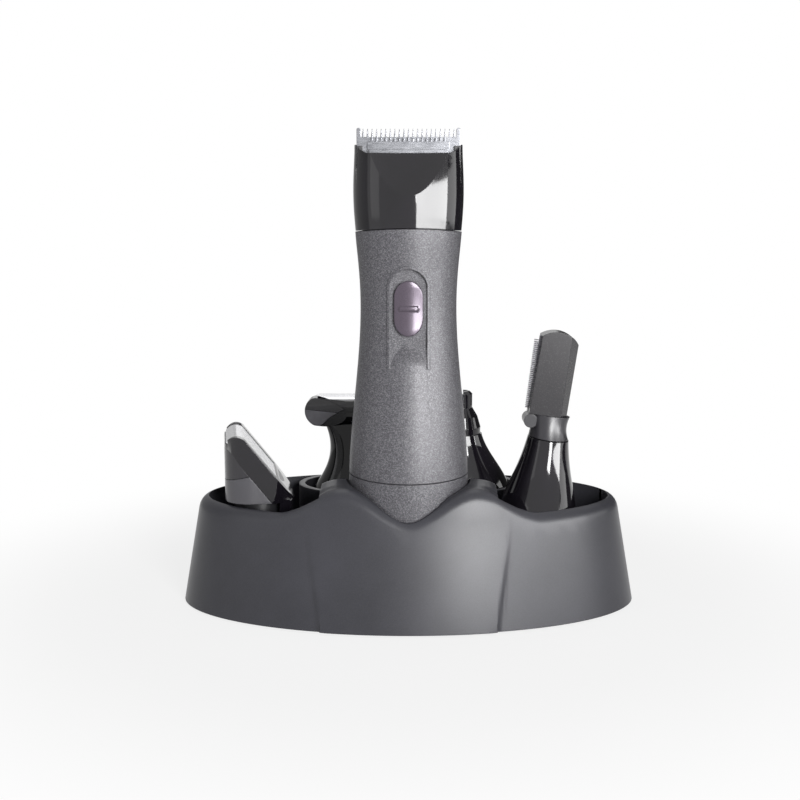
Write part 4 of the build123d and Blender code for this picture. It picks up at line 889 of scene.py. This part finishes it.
def studio_floor():
    """Seamless pale floor. What looks at it sees white, with the object's soft shadow kept near it."""
    mesh = bpy.data.meshes.new("floor")
    corners = [(x * FLOOR_HALF, y * FLOOR_HALF, 0) for x, y in ((-1, -1), (1, -1), (1, 1), (-1, 1))]
    mesh.from_pydata(corners, [], [(0, 1, 2, 3)])
    floor = new_object("floor", mesh)
    material, tree, place = new_surface("white_paper_sweep")
    away = add(tree, "ShaderNodeVectorMath", {0: place}, operation="LENGTH").outputs["Value"]
    white = add(tree, "ShaderNodeMapRange", {
        "Value": away, "From Min": SHADOW_NEAR, "From Max": SHADOW_FAR, "To Min": NEAR_GLOW, "To Max": 1.0,
    }, interpolation_type="SMOOTHSTEP")
    share = add(tree, "ShaderNodeMath", {0: seen_share(tree), 1: white}, operation="MULTIPLY")
    paper = add(tree, "ShaderNodeBsdfDiffuse", {"Color": srgb("#F4F4F4")})
    glow = add(tree, "ShaderNodeEmission", {"Color": WHITE, "Strength": 1.0})
    both = add(tree, "ShaderNodeMixShader", {0: share, 1: paper, 2: glow})
    add(tree, "ShaderNodeOutputMaterial", {"Surface": both})
    paint(floor, material)


def studio_world():
    """Even soft surround: white where it is seen, dimmer where it lights."""
    world = bpy.data.worlds.new("studio")
    bpy.context.scene.world = world
    tree = emptied(world)
    fill = add(tree, "ShaderNodeBackground", {"Color": WHITE, "Strength": 0.08})
    seen = add(tree, "ShaderNodeBackground", {"Color": WHITE, "Strength": 1.0})
    both = add(tree, "ShaderNodeMixShader", {0: seen_share(tree), 1: fill, 2: seen})
    add(tree, "ShaderNodeOutputWorld", {"Surface": both})


def reflected_card(name, start, end, low, high, radius, strength):
    """Curved card round the object that only its reflections show: a lit panel or a dark flag."""
    steps = 24
    points = []
    for i in range(steps + 1):
        azimuth = start + (end - start) * i / steps
        points += [round_place(azimuth, radius, z) for z in (low, high)]
    mesh = bpy.data.meshes.new(name)
    mesh.from_pydata(points, [], [(2 * i, 2 * i + 1, 2 * i + 3, 2 * i + 2) for i in range(steps)])
    card = new_object(name, mesh)
    material = bpy.data.materials.new(name)
    tree = emptied(material)
    glow = add(tree, "ShaderNodeEmission", {"Color": WHITE, "Strength": strength})
    add(tree, "ShaderNodeOutputMaterial", {"Surface": glow})
    paint(card, material)
    card.visible_camera = False
    card.visible_diffuse = False
    card.visible_shadow = False
    card.visible_transmission = False


def softbox(name, azimuth, height, distance, width, tall, power, aim=(0, -0.01, 0.08)):
    """Area lamp round the object."""
    lamp = bpy.data.lights.new(name, "AREA")
    lamp.shape = "RECTANGLE"
    lamp.size = width
    lamp.size_y = tall
    lamp.energy = power
    light = new_object(name, lamp)
    light.location = round_place(azimuth, distance, height)
    light.rotation_euler = (Vector(aim) - light.location).to_track_quat("-Z", "Y").to_euler()


def studio_camera():
    """Camera in front, a little above the set, looking slightly down."""
    camera = bpy.data.cameras.new("camera")
    camera.sensor_width = SENSOR
    camera.lens = FOCAL / FRAME * SENSOR
    camera.shift_x = SHIFT / FRAME
    camera.clip_start = 0.01
    view = new_object("camera", camera)
    view.location = CAMERA_PLACE
    view.rotation_euler = (math.radians(90.0 - CAMERA_DOWN), 0.0, 0.0)
    bpy.context.scene.camera = view


studio_floor()
studio_world()
softbox("key_right", 19, height=0.26, distance=0.80, width=0.20, tall=0.28, power=5.3)
softbox("fill_left", -62, height=0.30, distance=0.80, width=0.30, tall=0.50, power=0.3)
softbox("top", 10, height=0.95, distance=-0.15, width=0.60, tall=0.50, power=1.6, aim=(0, 0, 0.04))
reflected_card("panel_right", 13, 74, low=0.06, high=0.22, radius=0.70, strength=19.0)
reflected_card("margin_right", 75, 104, low=0.06, high=0.24, radius=0.72, strength=3.0)
reflected_card("flag_right", 76, 168, low=-0.02, high=0.60, radius=0.74, strength=0.06)
reflected_card("flag_left", -168, -80, low=-0.02, high=0.60, radius=0.74, strength=0.5)
studio_camera()
bpy.context.scene.view_settings.view_transform = "Standard"
